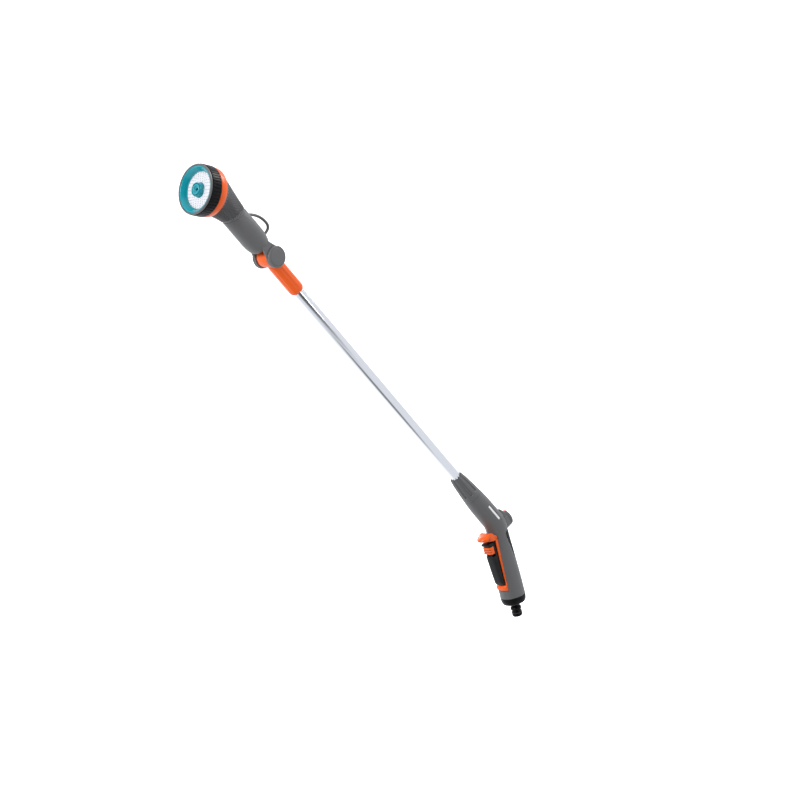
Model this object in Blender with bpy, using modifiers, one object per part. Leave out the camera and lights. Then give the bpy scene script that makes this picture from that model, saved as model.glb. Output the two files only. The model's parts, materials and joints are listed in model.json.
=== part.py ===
"""Watering wand: pistol handle, aluminium tube, tilt joint and turning spray head.

Frame: origin in the middle of the hand grip, +Z up along the grip, +X towards the
trigger, the plane Y = 0 splits the wand. The tube rises forward at TUBE_LEAN.
"""
import math

import bmesh
import bpy
from mathutils import Matrix, Vector

MM = 0.001
GAP = 0.3                 # clearance between pieces that touch, in millimetres

# Driving dimensions
TUBE_LEAN = math.radians(30.0)       # tube axis from vertical
HEAD_LEAN = math.radians(33.6)       # head axis from the tube axis
BEND_Z = 72 * MM                     # where the tube axis meets the grip axis
HINGE_UP = 604.8 * MM                # bend to tilt joint, along the tube
HEAD_UP = 130 * MM                   # tilt joint to the crossing of neck and head axes
FACE_UP = 36.5 * MM                  # that crossing to the front rim
FACE_R = 35.7 * MM                   # front rim
NECK_R = 18.3 * MM
TUBE_R = 8.2 * MM
TUBE_BORE_R = 7.2 * MM
GRIP_WALL = 2.6 * MM
SLOT_HALF = 8.6 * MM                 # half width of the trigger slot
TRIGGER_PIVOT = Vector((14.5, 0, -19)) * MM
VALVE_Z = 36 * MM
KNOB_ROOT_Z = 63.2 * MM              # knob axis crosses the grip axis here
KNOB_RISE = math.radians(15.0)       # knob axis above the horizontal, pointing back
NIPPLE_TIP_Z = -82 * MM

DARK_GREY = ((0.115, 0.118, 0.122), 0.5, 0.0)
BLACK = ((0.018, 0.018, 0.020), 0.45, 0.0)
ORANGE = ((0.90, 0.16, 0.02), 0.35, 0.0)
TEAL = ((0.004, 0.36, 0.42), 0.35, 0.0)
PALE = ((0.75, 0.74, 0.76), 0.5, 0.0)
NATURAL = ((0.55, 0.55, 0.52), 0.5, 0.0)
RUBBER = ((0.02, 0.02, 0.02), 0.8, 0.0)
ALUMINIUM = ((0.80, 0.81, 0.84), 0.2, 1.0)
STEEL = ((0.60, 0.60, 0.62), 0.3, 1.0)


# Scene and frames ---------------------------------------------------------

def clear_scene():
    for old in list(bpy.data.objects):
        bpy.data.objects.remove(old, do_unlink=True)


def new_collection(name):
    made = bpy.data.collections.new(name)
    bpy.context.scene.collection.children.link(made)
    return made


clear_scene()
PARTS = new_collection("watering_wand")
CUTTERS = new_collection("cutters")


def axis_frame(name, place, parent=None):
    """An empty whose local Z is the working axis of the pieces parented to it."""
    empty = bpy.data.objects.new(name, None)
    PARTS.objects.link(empty)
    empty.parent = parent
    empty.matrix_local = place
    empty.empty_display_size = 0.02
    return empty


def lean(angle):
    return Matrix.Rotation(angle, 4, "Y")


TUBE = axis_frame("tube_axis", Matrix.Translation((0, 0, BEND_Z)) @ lean(TUBE_LEAN))
TILT = axis_frame("tilt_axis", Matrix.Translation((0, 0, HINGE_UP)), TUBE)
HEAD = axis_frame("head_axis", Matrix.Translation((0, 0, HEAD_UP)) @ lean(HEAD_LEAN), TILT)
TRIGGER = axis_frame("trigger_axis", Matrix.Translation(TRIGGER_PIVOT))
VALVE = axis_frame("valve_axis", Matrix.Translation((0, 0, VALVE_Z)) @ lean(math.pi / 2))
KNOB = axis_frame("knob_axis",
                  Matrix.Translation((0, 0, KNOB_ROOT_Z)) @ lean(KNOB_RISE - math.pi / 2))
bpy.context.view_layer.update()


def finish(name, look):
    """One Principled material for each part."""
    colour, roughness, metallic = look
    made = bpy.data.materials.new(name)
    made.use_nodes = True
    shader = made.node_tree.nodes["Principled BSDF"]
    shader.inputs["Base Color"].default_value = (*colour, 1.0)
    shader.inputs["Roughness"].default_value = roughness
    shader.inputs["Metallic"].default_value = metallic
    return made


# Makers of solids ---------------------------------------------------------

def solid(name, mesh, frame=None, place=None):
    """A mesh object in a frame; cutters and parts both start here."""
    made = bpy.data.objects.new(name, mesh)
    CUTTERS.objects.link(made)
    if place is not None:
        mesh.transform(place)
    made.parent = frame
    made.hide_render = True
    made.display_type = "WIRE"
    return made


def as_part(made, look, sharp_deg=35):
    """Moves a finished solid to the wand's collection and gives it its finish."""
    CUTTERS.objects.unlink(made)
    PARTS.objects.link(made)
    made.hide_render = False
    made.display_type = "TEXTURED"
    made.data.materials.clear()
    made.data.materials.append(finish(made.name, look))
    made.data.shade_smooth()
    made.data.set_sharp_from_angle(angle=math.radians(sharp_deg))
    return made


def turned(name, profile, frame=None, steps=24, place=None):
    """Turns (radius, height) points, in millimetres, about the frame's Z."""
    closed_ring = profile[0][0] > 0
    mesh = bpy.data.meshes.new(name)
    verts = [(r * MM, 0, z * MM) for r, z in profile]
    edges = [(i, i + 1) for i in range(len(verts) - 1)]
    if closed_ring:
        edges.append((len(verts) - 1, 0))
    mesh.from_pydata(verts, edges, [])
    made = solid(name, mesh, frame)
    screw = made.modifiers.new("turn", "SCREW")
    screw.axis = "Z"
    screw.angle = 2 * math.pi
    screw.steps = steps
    screw.render_steps = steps
    screw.use_merge_vertices = True
    screw.merge_threshold = 0.01 * MM
    return baked(made, place)


def baked(made, place=None):
    """Applies the object's modifiers, then its place, so that it can be cut or joined."""
    bpy.context.view_layer.update()
    seen = made.evaluated_get(bpy.context.evaluated_depsgraph_get())
    mesh = bpy.data.meshes.new_from_object(seen)
    made.modifiers.clear()
    old = made.data
    made.data = mesh
    bpy.data.meshes.remove(old)
    mesh.name = made.name
    if place is not None:
        mesh.transform(place)
    return made


def ring(inner, outer, low, high):
    return [(inner, high), (outer, high), (outer, low), (inner, low)]


def rod(radius, low, high):
    return [(0, high), (radius, high), (radius, low), (0, low)]


def box(name, low, high, frame=None, place=None):
    bm = bmesh.new()
    bmesh.ops.create_cube(bm, size=1)
    size = [h - l for l, h in zip(low, high)]
    middle = [(h + l) / 2 for l, h in zip(low, high)]
    bmesh.ops.scale(bm, vec=Vector(size) * MM, verts=bm.verts)
    bmesh.ops.translate(bm, vec=Vector(middle) * MM, verts=bm.verts)
    mesh = bpy.data.meshes.new(name)
    bm.to_mesh(mesh)
    bm.free()
    return solid(name, mesh, frame, place)


def cross_rod(name, radius, x, z, y_low, y_high, frame=None, steps=12):
    """A cylinder along Y through the point (x, z) of the frame's XZ plane."""
    to_y = Matrix.Translation(Vector((x, 0, z)) * MM) @ Matrix.Rotation(-math.pi / 2, 4, "X")
    return turned(name, rod(radius, y_low, y_high), frame, steps, to_y)


def curve_to_solid(curve_object, name, frame):
    """Turns a curve object into a welded mesh solid in the frame."""
    bpy.context.view_layer.update()
    seen = curve_object.evaluated_get(bpy.context.evaluated_depsgraph_get())
    mesh = bpy.data.meshes.new_from_object(seen)
    mesh.transform(curve_object.matrix_world)
    bpy.data.objects.remove(curve_object, do_unlink=True)
    bm = bmesh.new()
    bm.from_mesh(mesh)
    bmesh.ops.remove_doubles(bm, verts=bm.verts, dist=0.001 * MM)
    bmesh.ops.recalc_face_normals(bm, faces=bm.faces)
    bm.to_mesh(mesh)
    bm.free()
    mesh.name = name
    return solid(name, mesh, frame)


def side_plate(name, outline, half_width, frame=None):
    """Extrudes an (x, z) outline, in millimetres, across the wand."""
    curve = bpy.data.curves.new(name + "_outline", "CURVE")
    curve.dimensions = "2D"
    curve.fill_mode = "BOTH"
    curve.extrude = half_width * MM
    spline = curve.splines.new("POLY")
    spline.points.add(len(outline) - 1)
    for point, (x, z) in zip(spline.points, outline):
        point.co = (x * MM, z * MM, 0, 1)
    spline.use_cyclic_u = True
    holder = bpy.data.objects.new(name + "_outline", curve)
    CUTTERS.objects.link(holder)
    holder.matrix_world = Matrix.Rotation(math.pi / 2, 4, "X")
    return curve_to_solid(holder, name, frame)


def wire(name, points, radius, frame=None, sides=2):
    """A round wire or pipe core along points, in millimetres."""
    curve = bpy.data.curves.new(name + "_path", "CURVE")
    curve.dimensions = "3D"
    curve.bevel_depth = radius * MM
    curve.bevel_resolution = sides
    curve.use_fill_caps = True
    spline = curve.splines.new("POLY")
    spline.points.add(len(points) - 1)
    for point, place in zip(spline.points, points):
        point.co = (*(Vector(place) * MM), 1)
    holder = bpy.data.objects.new(name + "_path", curve)
    CUTTERS.objects.link(holder)
    return curve_to_solid(holder, name, frame)


def bezier(start, pull_start, pull_end, end, count):
    """Points of one cubic Bezier span."""
    points = []
    for i in range(count + 1):
        t = i / count
        s = 1 - t
        weights = (s ** 3, 3 * s * s * t, 3 * s * t * t, t ** 3)
        spans = (start, pull_start, pull_end, end)
        points.append(sum((Vector(p) * w for p, w in zip(spans, weights)), Vector()))
    return points


def loft(name, sections, frame=None):
    """A solid through closed sections that have the same number of points."""
    bm = bmesh.new()
    rows = [[bm.verts.new(point) for point in section] for section in sections]
    count = len(rows[0])
    for low, high in zip(rows, rows[1:]):
        for i in range(count):
            j = (i + 1) % count
            bm.faces.new((low[i], low[j], high[j], high[i]))
    bm.faces.new(reversed(rows[0]))
    bm.faces.new(rows[-1])
    bmesh.ops.recalc_face_normals(bm, faces=bm.faces)
    mesh = bpy.data.meshes.new(name)
    bm.to_mesh(mesh)
    bm.free()
    return solid(name, mesh, frame)


def sleeve(name, outers, inners, frame=None):
    """A hollow lofted wall, open at both ends, through outer and inner rings."""
    bm = bmesh.new()
    skins = [[[bm.verts.new(p) for p in section] for section in skin]
             for skin in (outers, inners)]
    count = len(outers[0])
    for rows in skins:
        for low, high in zip(rows, rows[1:]):
            for i in range(count):
                j = (i + 1) % count
                bm.faces.new((low[i], low[j], high[j], high[i]))
    for end in (0, -1):
        outer, inner = skins[0][end], skins[1][end]
        for i in range(count):
            j = (i + 1) % count
            bm.faces.new((outer[i], outer[j], inner[j], inner[i]))
    bmesh.ops.recalc_face_normals(bm, faces=bm.faces)
    mesh = bpy.data.meshes.new(name)
    bm.to_mesh(mesh)
    bm.free()
    return solid(name, mesh, frame)


def round_section(place, half_depth, half_width, count=28, flute=0.0, flutes=12):
    """An oval ring of points in the XY plane of place, with optional flutes."""
    points = []
    for i in range(count):
        angle = 2 * math.pi * i / count
        swell = 1 - flute * (0.5 - 0.5 * math.cos(flutes * angle))
        flat = Vector((half_depth * swell * math.cos(angle),
                       half_width * swell * math.sin(angle), 0))
        points.append(place @ flat)
    return points


def boolean(made, others, operation, solver="EXACT"):
    """Joins or cuts a solid with others and keeps the result as its mesh."""
    for other in others:
        step = made.modifiers.new(operation.lower(), "BOOLEAN")
        step.operation = operation
        step.solver = solver
        step.object = other
    baked(made)
    for other in others:
        bpy.data.objects.remove(other, do_unlink=True)
    return made


def join(made, *others):
    return boolean(made, others, "UNION")


def cut(made, *others):
    return boolean(made, others, "DIFFERENCE")


def pipe(name, points, outer, inner, frame=None):
    """A pipe along points; its bore runs out through both ends."""
    path = [Vector(p) for p in points]
    before = path[0] + (path[0] - path[1]).normalized()
    after = path[-1] + (path[-1] - path[-2]).normalized()
    body = wire(name, path, outer, frame)
    return cut(body, wire(name + "_bore", [before, *path, after], inner, frame))


# Spray head ---------------------------------------------------------------
# Heights are along the head axis from its crossing with the neck axis.

FACE = FACE_UP / MM
RIM_R = FACE_R / MM
RECESS = FACE - 9.0                  # front of the spray plate


def make_face():
    """The parts that turn with the selector ring."""
    rim = [(33.3, FACE - 0.3), (34.0, FACE), (RIM_R - 0.6, FACE), (RIM_R, FACE - 0.7),
           (RIM_R, FACE - 3.0), (33.3, FACE - 3.0)]
    as_part(turned("face_rim", rim, HEAD, 32), DARK_GREY)

    ribs = 32
    grip = [round_section(Matrix.Translation((0, 0, z * MM)), 36.4 * MM, 36.4 * MM,
                          2 * ribs, 0.025, ribs)
            for z in (FACE - 19.4, FACE - 3.3)]
    made = loft("selector_ring", grip, HEAD)
    hollow = turned("selector_hollow", rod(30.5, FACE - 21, FACE - 2), HEAD, 32)
    as_part(cut(made, hollow), BLACK, 20)

    funnel = [(32.0, FACE - 0.9), (33.0, FACE - 0.9), (33.0, FACE - 2.9), (30.2, FACE - 3.2),
              (30.2, FACE - 11.2), (26.4, FACE - 11.2), (26.4, FACE - 8.6)]
    as_part(turned("spray_funnel", funnel, HEAD, 32), TEAL)

    as_part(turned("spray_plate", ring(11.0, 26.1, FACE - 11.2, RECESS), HEAD, 32), PALE)

    nozzle = [(2.2, FACE - 3.4), (4.6, FACE - 3.4), (5.6, FACE - 2.0), (7.2, FACE - 2.0),
              (7.6, FACE - 2.8), (9.2, FACE - 2.8), (9.6, FACE - 2.2), (10.3, FACE - 2.2),
              (10.7, FACE - 2.8), (10.7, FACE - 12.0), (2.2, FACE - 12.0)]
    as_part(turned("centre_nozzle", nozzle, HEAD, 32), TEAL)

    disc = turned("pattern_disc", ring(3.4, 29.8, FACE - 15.2, FACE - 12.4), HEAD, 24)
    as_part(cut(disc, *ports("pattern_port", FACE - 16, FACE - 12)), NATURAL)


def ports(name, low, high):
    """Three round water ports on one circle of the discs."""
    made = []
    for i in range(3):
        angle = 2 * math.pi * i / 3
        spot = Matrix.Translation((15 * MM * math.cos(angle), 15 * MM * math.sin(angle), 0))
        made.append(turned(name, rod(4.0, low, high), HEAD, 10, spot))
    return made


def make_head():
    """Fixed parts of the head, behind the turning face."""
    plate = turned("port_plate", [(3.0, FACE - 15.6), (26.0, FACE - 15.6), (26.0, FACE - 17.0),
                                  (29.8, FACE - 17.0), (29.8, FACE - 22.4), (27.8, FACE - 22.4),
                                  (27.8, FACE - 18.4), (3.0, FACE - 18.4)], HEAD, 24)
    as_part(cut(plate, *ports("plate_port", FACE - 19, FACE - 15)), NATURAL)
    as_part(turned("head_seal", ring(26.5, 28.9, FACE - 16.7, FACE - 15.5), HEAD, 24), RUBBER)

    screw = [(0, FACE - 12.3), (2.9, FACE - 12.3), (2.9, FACE - 15.0), (2.4, FACE - 15.0),
             (2.4, FACE - 21.5), (0, FACE - 21.5)]
    as_part(turned("hub_screw", screw, HEAD, 12), STEEL)

    leaf = side_plate("detent_leaf", [(18, FACE - 20.6), (26.6, FACE - 20.6), (26.6, FACE - 20),
                                      (23.2, FACE - 19.2), (21.6, FACE - 19.2),
                                      (18, FACE - 20)], 3.0, HEAD)
    as_part(leaf, STEEL)

    accent = [(30.2, FACE - 19.7), (34.8, FACE - 19.7), (35.4, FACE - 21.0),
              (34.4, FACE - 30.2), (33.2, FACE - 31.2), (29.6, FACE - 31.2),
              (29.6, FACE - 23.0), (30.2, FACE - 22.8)]
    as_part(turned("accent_ring", accent, HEAD, 32), ORANGE)

    shell_sections = []
    for wall in (0.0, 2.2):
        rings = []
        for share in (0.0, 0.22, 0.45, 0.72, 1.0):
            rings.append(cone_section(share, wall))
        shell_sections.append(rings)
    as_part(sleeve("head_shell", *shell_sections, TILT), DARK_GREY)


SEAM_UP = 85.0                       # neck seam, from the tilt joint
SEAM_TILT = math.radians(-12.0)      # the seam leans back
CONE_END = FACE - 31.6               # back of the accent ring
CONE_END_R = 31.0


def cone_section(share, wall):
    """One ring of the cone, from the neck seam (0) to the accent ring (1)."""
    ease = share ** 1.6
    neck_place = Matrix.Translation((0, 0, SEAM_UP * MM)) @ lean(SEAM_TILT)
    head_place = (Matrix.Translation((0, 0, HEAD_UP)) @ lean(HEAD_LEAN)
                  @ Matrix.Translation((0, 0, CONE_END * MM)))
    centre = neck_place.translation.lerp(head_place.translation, share)
    tilt = SEAM_TILT + (HEAD_LEAN - SEAM_TILT) * share
    radius = NECK_R + (CONE_END_R * MM - NECK_R) * ease - wall * MM
    place = Matrix.Translation(centre) @ lean(tilt)
    return round_section(place, radius, radius)


def make_neck():
    """Neck with its two hinge ears; it carries the head on the tilt joint."""
    sleeve_profile = [(8.0, SEAM_UP + 8), (18.3, SEAM_UP + 8), (18.3, 42), (17.6, 33),
                      (16.2, 25), (15.4, 19.5), (8.0, 19.5)]
    neck = turned("neck_fork", sleeve_profile, TILT)
    ears = side_plate("ears", ear_outline(15.7, 7.5, 28), 15.3, TILT)
    slot = box("ear_slot", (-30, -11.1, -30), (30, 11.1, 19.4), TILT)
    ears = cut(ears, slot)
    neck = join(neck, ears)
    hollow = turned("neck_hollow", rod(15.9, 44, SEAM_UP + 20), TILT)
    seam = box("seam_cut", (-40, -40, 0), (40, 40, 60), TILT,
               Matrix.Translation((0, 0, (SEAM_UP - GAP) * MM)) @ lean(SEAM_TILT))
    spool_hole = cross_rod("spool_hole", 6.4, 0, 0, -20, 20, TILT)
    water_way = turned("water_way", rod(6.2, 10, 46), TILT, 16)
    neck = cut(neck, hollow, seam, spool_hole, water_way)
    as_part(neck, DARK_GREY)

    loop = bezier((-20.5, 0, 66), (-27, 0, 60), (-33.5, 0, 48), (-33.2, 0, 35), 10)
    loop += bezier((-33.2, 0, 35), (-33, 0, 29), (-30.5, 0, 26), (-19.6, 0, 27.5), 6)[1:]
    as_part(wire("hang_loop", loop, 2.2, TILT, 3), DARK_GREY)

    for name, side in (("hinge_cap_near", 1), ("hinge_cap_far", -1)):
        cap = [(0, 19.2), (11.5, 19.2), (14.6, 18.9), (15.8, 17.8), (15.8, 15.6),
               (13.2, 15.6), (13.2, 17.7), (0, 17.7)]
        face_out = Matrix.Rotation(-side * math.pi / 2, 4, "X")
        as_part(turned(name, cap, TILT, 24, face_out), DARK_GREY)

    wheel = [round_section(Matrix.Translation((0, 0, y * MM)), 11.6 * MM, 11.6 * MM, 24, 0.09, 12)
             for y in (15.7, 17.3)]
    made = loft("tilt_detent_wheel", wheel, TILT)
    made.data.transform(Matrix.Rotation(-math.pi / 2, 4, "X"))
    hub = cross_rod("wheel_hub", 4.3, 0, 0, 15, 18, TILT)
    as_part(cut(made, hub), NATURAL)

    duct = [(0, 0, 20.5), (0, 0, 42), (0, 0, 70)]
    duct += bezier((0, 0, 84), (0, 0, 96), (1.5, 0, 106), (5.5, 0, 114.5), 6)
    as_part(pipe("water_duct", duct, 5.6, 4.2, TILT), NATURAL)


def ear_outline(radius, root, top):
    """Round ear about the joint with a narrow root up into the neck."""
    points = []
    for i in range(21):
        angle = math.radians(140 + 13 * i)
        points.append((radius * math.cos(angle), radius * math.sin(angle)))
    return points + [(root, top - 8), (root, top), (-root, top), (-root, top - 8)]


# Tilt joint and tube ------------------------------------------------------

HINGE = HINGE_UP / MM


def make_joint():
    """Orange knuckle and collar on the tube, with the hollow spool that joins them."""
    collar = [(0, HINGE - 6), (10.4, HINGE - 6), (11.1, HINGE - 16), (11.3, HINGE - 64),
              (10.9, HINGE - 68), (9.6, HINGE - 70.5), (0, HINGE - 70.5)]
    socket = turned("tube_socket", collar, TUBE)
    knuckle = cross_rod("knuckle", 14.6, 0, HINGE, -10.7, 10.7, TUBE, 24)
    socket = join(socket, knuckle)
    tube_bore = turned("tube_bore", rod(TUBE_R / MM + GAP, HINGE - 80, HINGE - 20), TUBE)
    water_bore = turned("water_bore", rod(5.0, HINGE - 25, HINGE), TUBE, 16)
    spool_bore = cross_rod("spool_bore", 6.4, 0, HINGE, -20, 20, TUBE, 16)
    as_part(cut(socket, tube_bore, water_bore, spool_bore), ORANGE)

    half = [(0, 14.9), (4.0, 14.9), (4.0, 12.6), (6.1, 12.6), (6.1, 9.9), (4.6, 9.9),
            (4.6, 7.6), (6.1, 7.6), (6.1, 5.4), (4.8, 5.0)]
    spool = half + [(r, -y) for r, y in reversed(half)]
    flat = Matrix.Translation((0, 0, HINGE_UP)) @ Matrix.Rotation(-math.pi / 2, 4, "X")
    made = turned("pivot_spool", spool, TUBE, 16, flat)
    through = turned("spool_bore", rod(2.6, HINGE - 10, HINGE + 10), TUBE, 12)
    as_part(cut(made, through), NATURAL)
    for name, y in (("spool_seal_near", 8.75), ("spool_seal_far", -8.75)):
        seal = turned(name, ring(4.9, 6.05, y - 0.8, y + 0.8), TUBE, 16, flat)
        as_part(seal, RUBBER)

    as_part(turned("tube_end_seal", ring(6.0, 8.1, HINGE - 21.7, HINGE - 20.3), TUBE, 20), RUBBER)
    bore = TUBE_BORE_R / MM
    outer = TUBE_R / MM
    as_part(turned("tube", ring(bore, outer, TUBE_LOW, HINGE - 22), TUBE), ALUMINIUM)


TUBE_LOW = 62.0                      # tube's lower end above the bend
NUT_TOP = 113.0
NUT_LOW = 68.0


def make_nut():
    """Fluted nut with the split ring that clamps the tube."""
    stations = ((NUT_LOW, 15.1, 0.02), (77, 14.3, 0.07), (90, 13.1, 0.10), (101, 12.0, 0.10),
                (108, 11.0, 0.08), (NUT_TOP, 10.1, 0.03))
    rings = [round_section(Matrix.Translation((0, 0, z * MM)), r * MM, r * MM, 36, flute, 9)
             for z, r, flute in stations]
    nut = loft("tube_nut", rings, TUBE)
    bore = turned("nut_bore", rod(TUBE_R / MM + GAP, 66, 120), TUBE)
    chamber = turned("nut_chamber", [(0, 102), (9.9, 102), (11.0, 88), (11.0, 66), (0, 66)], TUBE)
    as_part(cut(nut, bore, chamber), DARK_GREY, 25)

    clamp = turned("tube_clamp_ring", [(8.5, 101), (9.3, 101), (10.2, 90), (8.5, 90)], TUBE, 24)
    split = box("clamp_split", (0, -0.8, 85), (15, 0.8, 105), TUBE)
    as_part(cut(clamp, split), NATURAL)


# Handle -------------------------------------------------------------------

def handle_place(kind, along, tilt):
    """Middle plane of one section: along the tube axis or along the grip."""
    if kind == "barrel":
        centre = Vector((math.sin(TUBE_LEAN), 0, math.cos(TUBE_LEAN))) * along * MM
        centre.z += BEND_Z
    else:
        centre = Vector((0, 0, along * MM))
    return Matrix.Translation(centre) @ lean(math.radians(tilt))


HANDLE_SECTIONS = (
    ("grip", -47.2, 0, 20.1, 19.6),
    ("grip", -34.0, 0, 20.0, 19.4),
    ("grip", -16.0, 0, 19.8, 19.0),
    ("grip", 5.0, 0, 19.1, 18.4),
    ("grip", 25.0, 0, 18.4, 17.8),
    ("grip", 42.0, 1, 17.6, 17.1),
    ("grip", 56.0, 5, 17.2, 16.8),
    ("grip", 66.0, 11, 17.3, 16.8),
    ("barrel", 5.0, 19, 17.4, 16.8),
    ("barrel", 16.0, 26, 17.1, 16.8),
    ("barrel", 30.0, 30, 16.9, 16.8),
    ("barrel", 46.0, 30, 16.6, 16.6),
    ("barrel", 58.0, 30, 16.0, 16.0),
    ("barrel", 67.7, 30, 15.2, 15.2),
)
HALF_STEPS = 10


def half_section(kind, along, tilt, half_depth, half_width, side):
    """C-shaped wall section of one half shell, with its flat parting faces."""
    place = handle_place(kind, along, tilt)
    points = []
    for wall, order in ((0, range(HALF_STEPS + 1)), (GRIP_WALL / MM, range(HALF_STEPS, -1, -1))):
        for i in order:
            angle = math.pi * i / HALF_STEPS
            depth = (half_depth - wall) * math.cos(angle)
            width = (half_width - wall) * math.sin(angle)
            points.append(place @ (Vector((depth, side * width, 0)) * MM))
    return points


# Case screws: frame, x and z of the axis, reach into the left shell
SCREWS = (
    ("barrel", -10.0, 44.0),
    ("barrel", 10.6, 26.0),
    ("grip", -12.4, 3.0),
    ("grip", -12.8, -38.0),
    ("grip", 12.6, -40.0),
)
SCREW_HEAD_Y = -7.0


def screw_frame(kind):
    return TUBE if kind == "barrel" else None


def knob_boss(name, radius, low, high, squeeze=1.0):
    """A round or oval boss on the knob's axis."""
    return turned(name, rod(radius, low, high), KNOB, 24, Matrix.Diagonal((1, squeeze, 1, 1)))


PAD_LOW = 14.0
PAD_HIGH = 57.0
PAD_DEPTH = 1.5


def pad_section(along, grow, low_depth, high_depth):
    """Arc band on the back of the grip, between two depths below the surface."""
    for (_, z_low, _, d_low, w_low), (_, z_high, _, d_high, w_high) in zip(
            HANDLE_SECTIONS, HANDLE_SECTIONS[1:]):
        if z_low <= along <= z_high:
            share = (along - z_low) / (z_high - z_low)
            depth = d_low + (d_high - d_low) * share
            width = w_low + (w_high - w_low) * share
            break
    reach = math.radians(60 + 26 * (along - PAD_LOW) / (PAD_HIGH - PAD_LOW)) + grow / 18
    points = []
    steps = 14
    for inset, order in ((low_depth, range(steps + 1)), (high_depth, range(steps, -1, -1))):
        for i in order:
            angle = math.pi + reach * (2 * i / steps - 1)
            points.append(Vector(((depth - inset) * math.cos(angle),
                                  (width - inset) * math.sin(angle), along)) * MM)
    return points


def make_pad():
    stations = [PAD_LOW + (PAD_HIGH - PAD_LOW) * i / 5 for i in range(6)]
    sections = [pad_section(z, 0, 0.0, PAD_DEPTH) for z in stations]
    as_part(loft("rear_pad", sections), BLACK)


def pad_recess():
    stations = [PAD_LOW - GAP, 23.0, 32.0, 41.9, PAD_HIGH + GAP]
    sections = [pad_section(z, GAP, -4.0, PAD_DEPTH + GAP) for z in stations]
    return loft("pad_recess", sections)


def make_shell(name, side):
    """One half of the handle case."""
    sections = [half_section(*entry, side) for entry in HANDLE_SECTIONS]
    shell = loft(name, sections)
    hump = [(-7.5, 92.5), (-19.6, 82.2), (-17.0, 76), (-9.0, 80.0)]
    bosses = [knob_boss("knob_boss", 12.9, 9.0, 24.0, 0.78), side_plate("hump", hump, 8.0)]
    holes = [knob_boss("knob_chamber", 10.0, 0.0, 18.6, 0.78), knob_boss("spindle_hole", 2.6, 15, 28)]
    for kind, x, z in SCREWS:
        frame = screw_frame(kind)
        if side > 0:
            bosses.append(cross_rod("boss", 3.0, x, z, -1, 12.6, frame))
            holes.append(cross_rod("screw_hole", 1.7, x, z, -1, 9.5, frame, 8))
        else:
            bosses.append(cross_rod("boss", 4.2, x, z, -11.6, 1, frame))
            holes.append(cross_rod("screw_hole", 1.7, x, z, -12, 1, frame, 8))
            holes.append(cross_rod("head_hole", 3.2, x, z, -30, SCREW_HEAD_Y, frame))
    boolean(shell, bosses, "UNION", "MANIFOLD")
    window = box("trigger_window", (4, -11.1, -33.4), (50, 11.1, 58.6))
    if side > 0:
        other_half = box("other_half", (-80, -60, -80), (120, 0.15, 200))
    else:
        other_half = box("other_half", (-80, -0.15, -80), (120, 60, 200))
    boolean(shell, [other_half, window, pad_recess(), *holes], "DIFFERENCE", "MANIFOLD")
    return as_part(shell, DARK_GREY)


def make_screws():
    for number, (kind, x, z) in enumerate(SCREWS, 1):
        under_head = SCREW_HEAD_Y - GAP
        profile = [(0, 8.8), (1.4, 8.8), (1.4, under_head), (2.8, under_head),
                   (2.8, under_head - 1.9), (0, under_head - 1.9)]
        to_y = Matrix.Translation(Vector((x, 0, z)) * MM) @ Matrix.Rotation(-math.pi / 2, 4, "X")
        name = "shell_screw_%d" % number
        as_part(turned(name, profile, screw_frame(kind), 8, to_y), STEEL)


def make_bezel():
    """Orange frame round the trigger, with the beak above and the foot below."""
    outline = [(8.6, -33), (18.6, -33), (21.4, -31), (22.0, -26.5), (20.6, -23.8), (16.2, -23.6),
               (16.2, 51.6), (30, 52.8), (38.5, 54.6), (42, 57.0), (39.5, 60.6), (32, 63.6),
               (22, 64.6), (19.4, 63.4), (19.0, 59.8), (16.6, 58.2), (13.4, 58.2),
               (13.4, 48), (8.6, 46)]
    bezel = side_plate("trigger_bezel", outline, 10.8)
    half = SLOT_HALF / MM
    slot = box("trigger_slot", (0, -half, -23.2), (30, half, 51.2))
    pin_hole = cross_rod("pin_hole", 1.75, TRIGGER_PIVOT.x / MM, TRIGGER_PIVOT.z / MM, -20, 20)
    cut(bezel, slot, pin_hole)
    as_part(bezel, ORANGE)


CHEEK = 5.0                          # inside of the lock slider's cheeks


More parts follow.
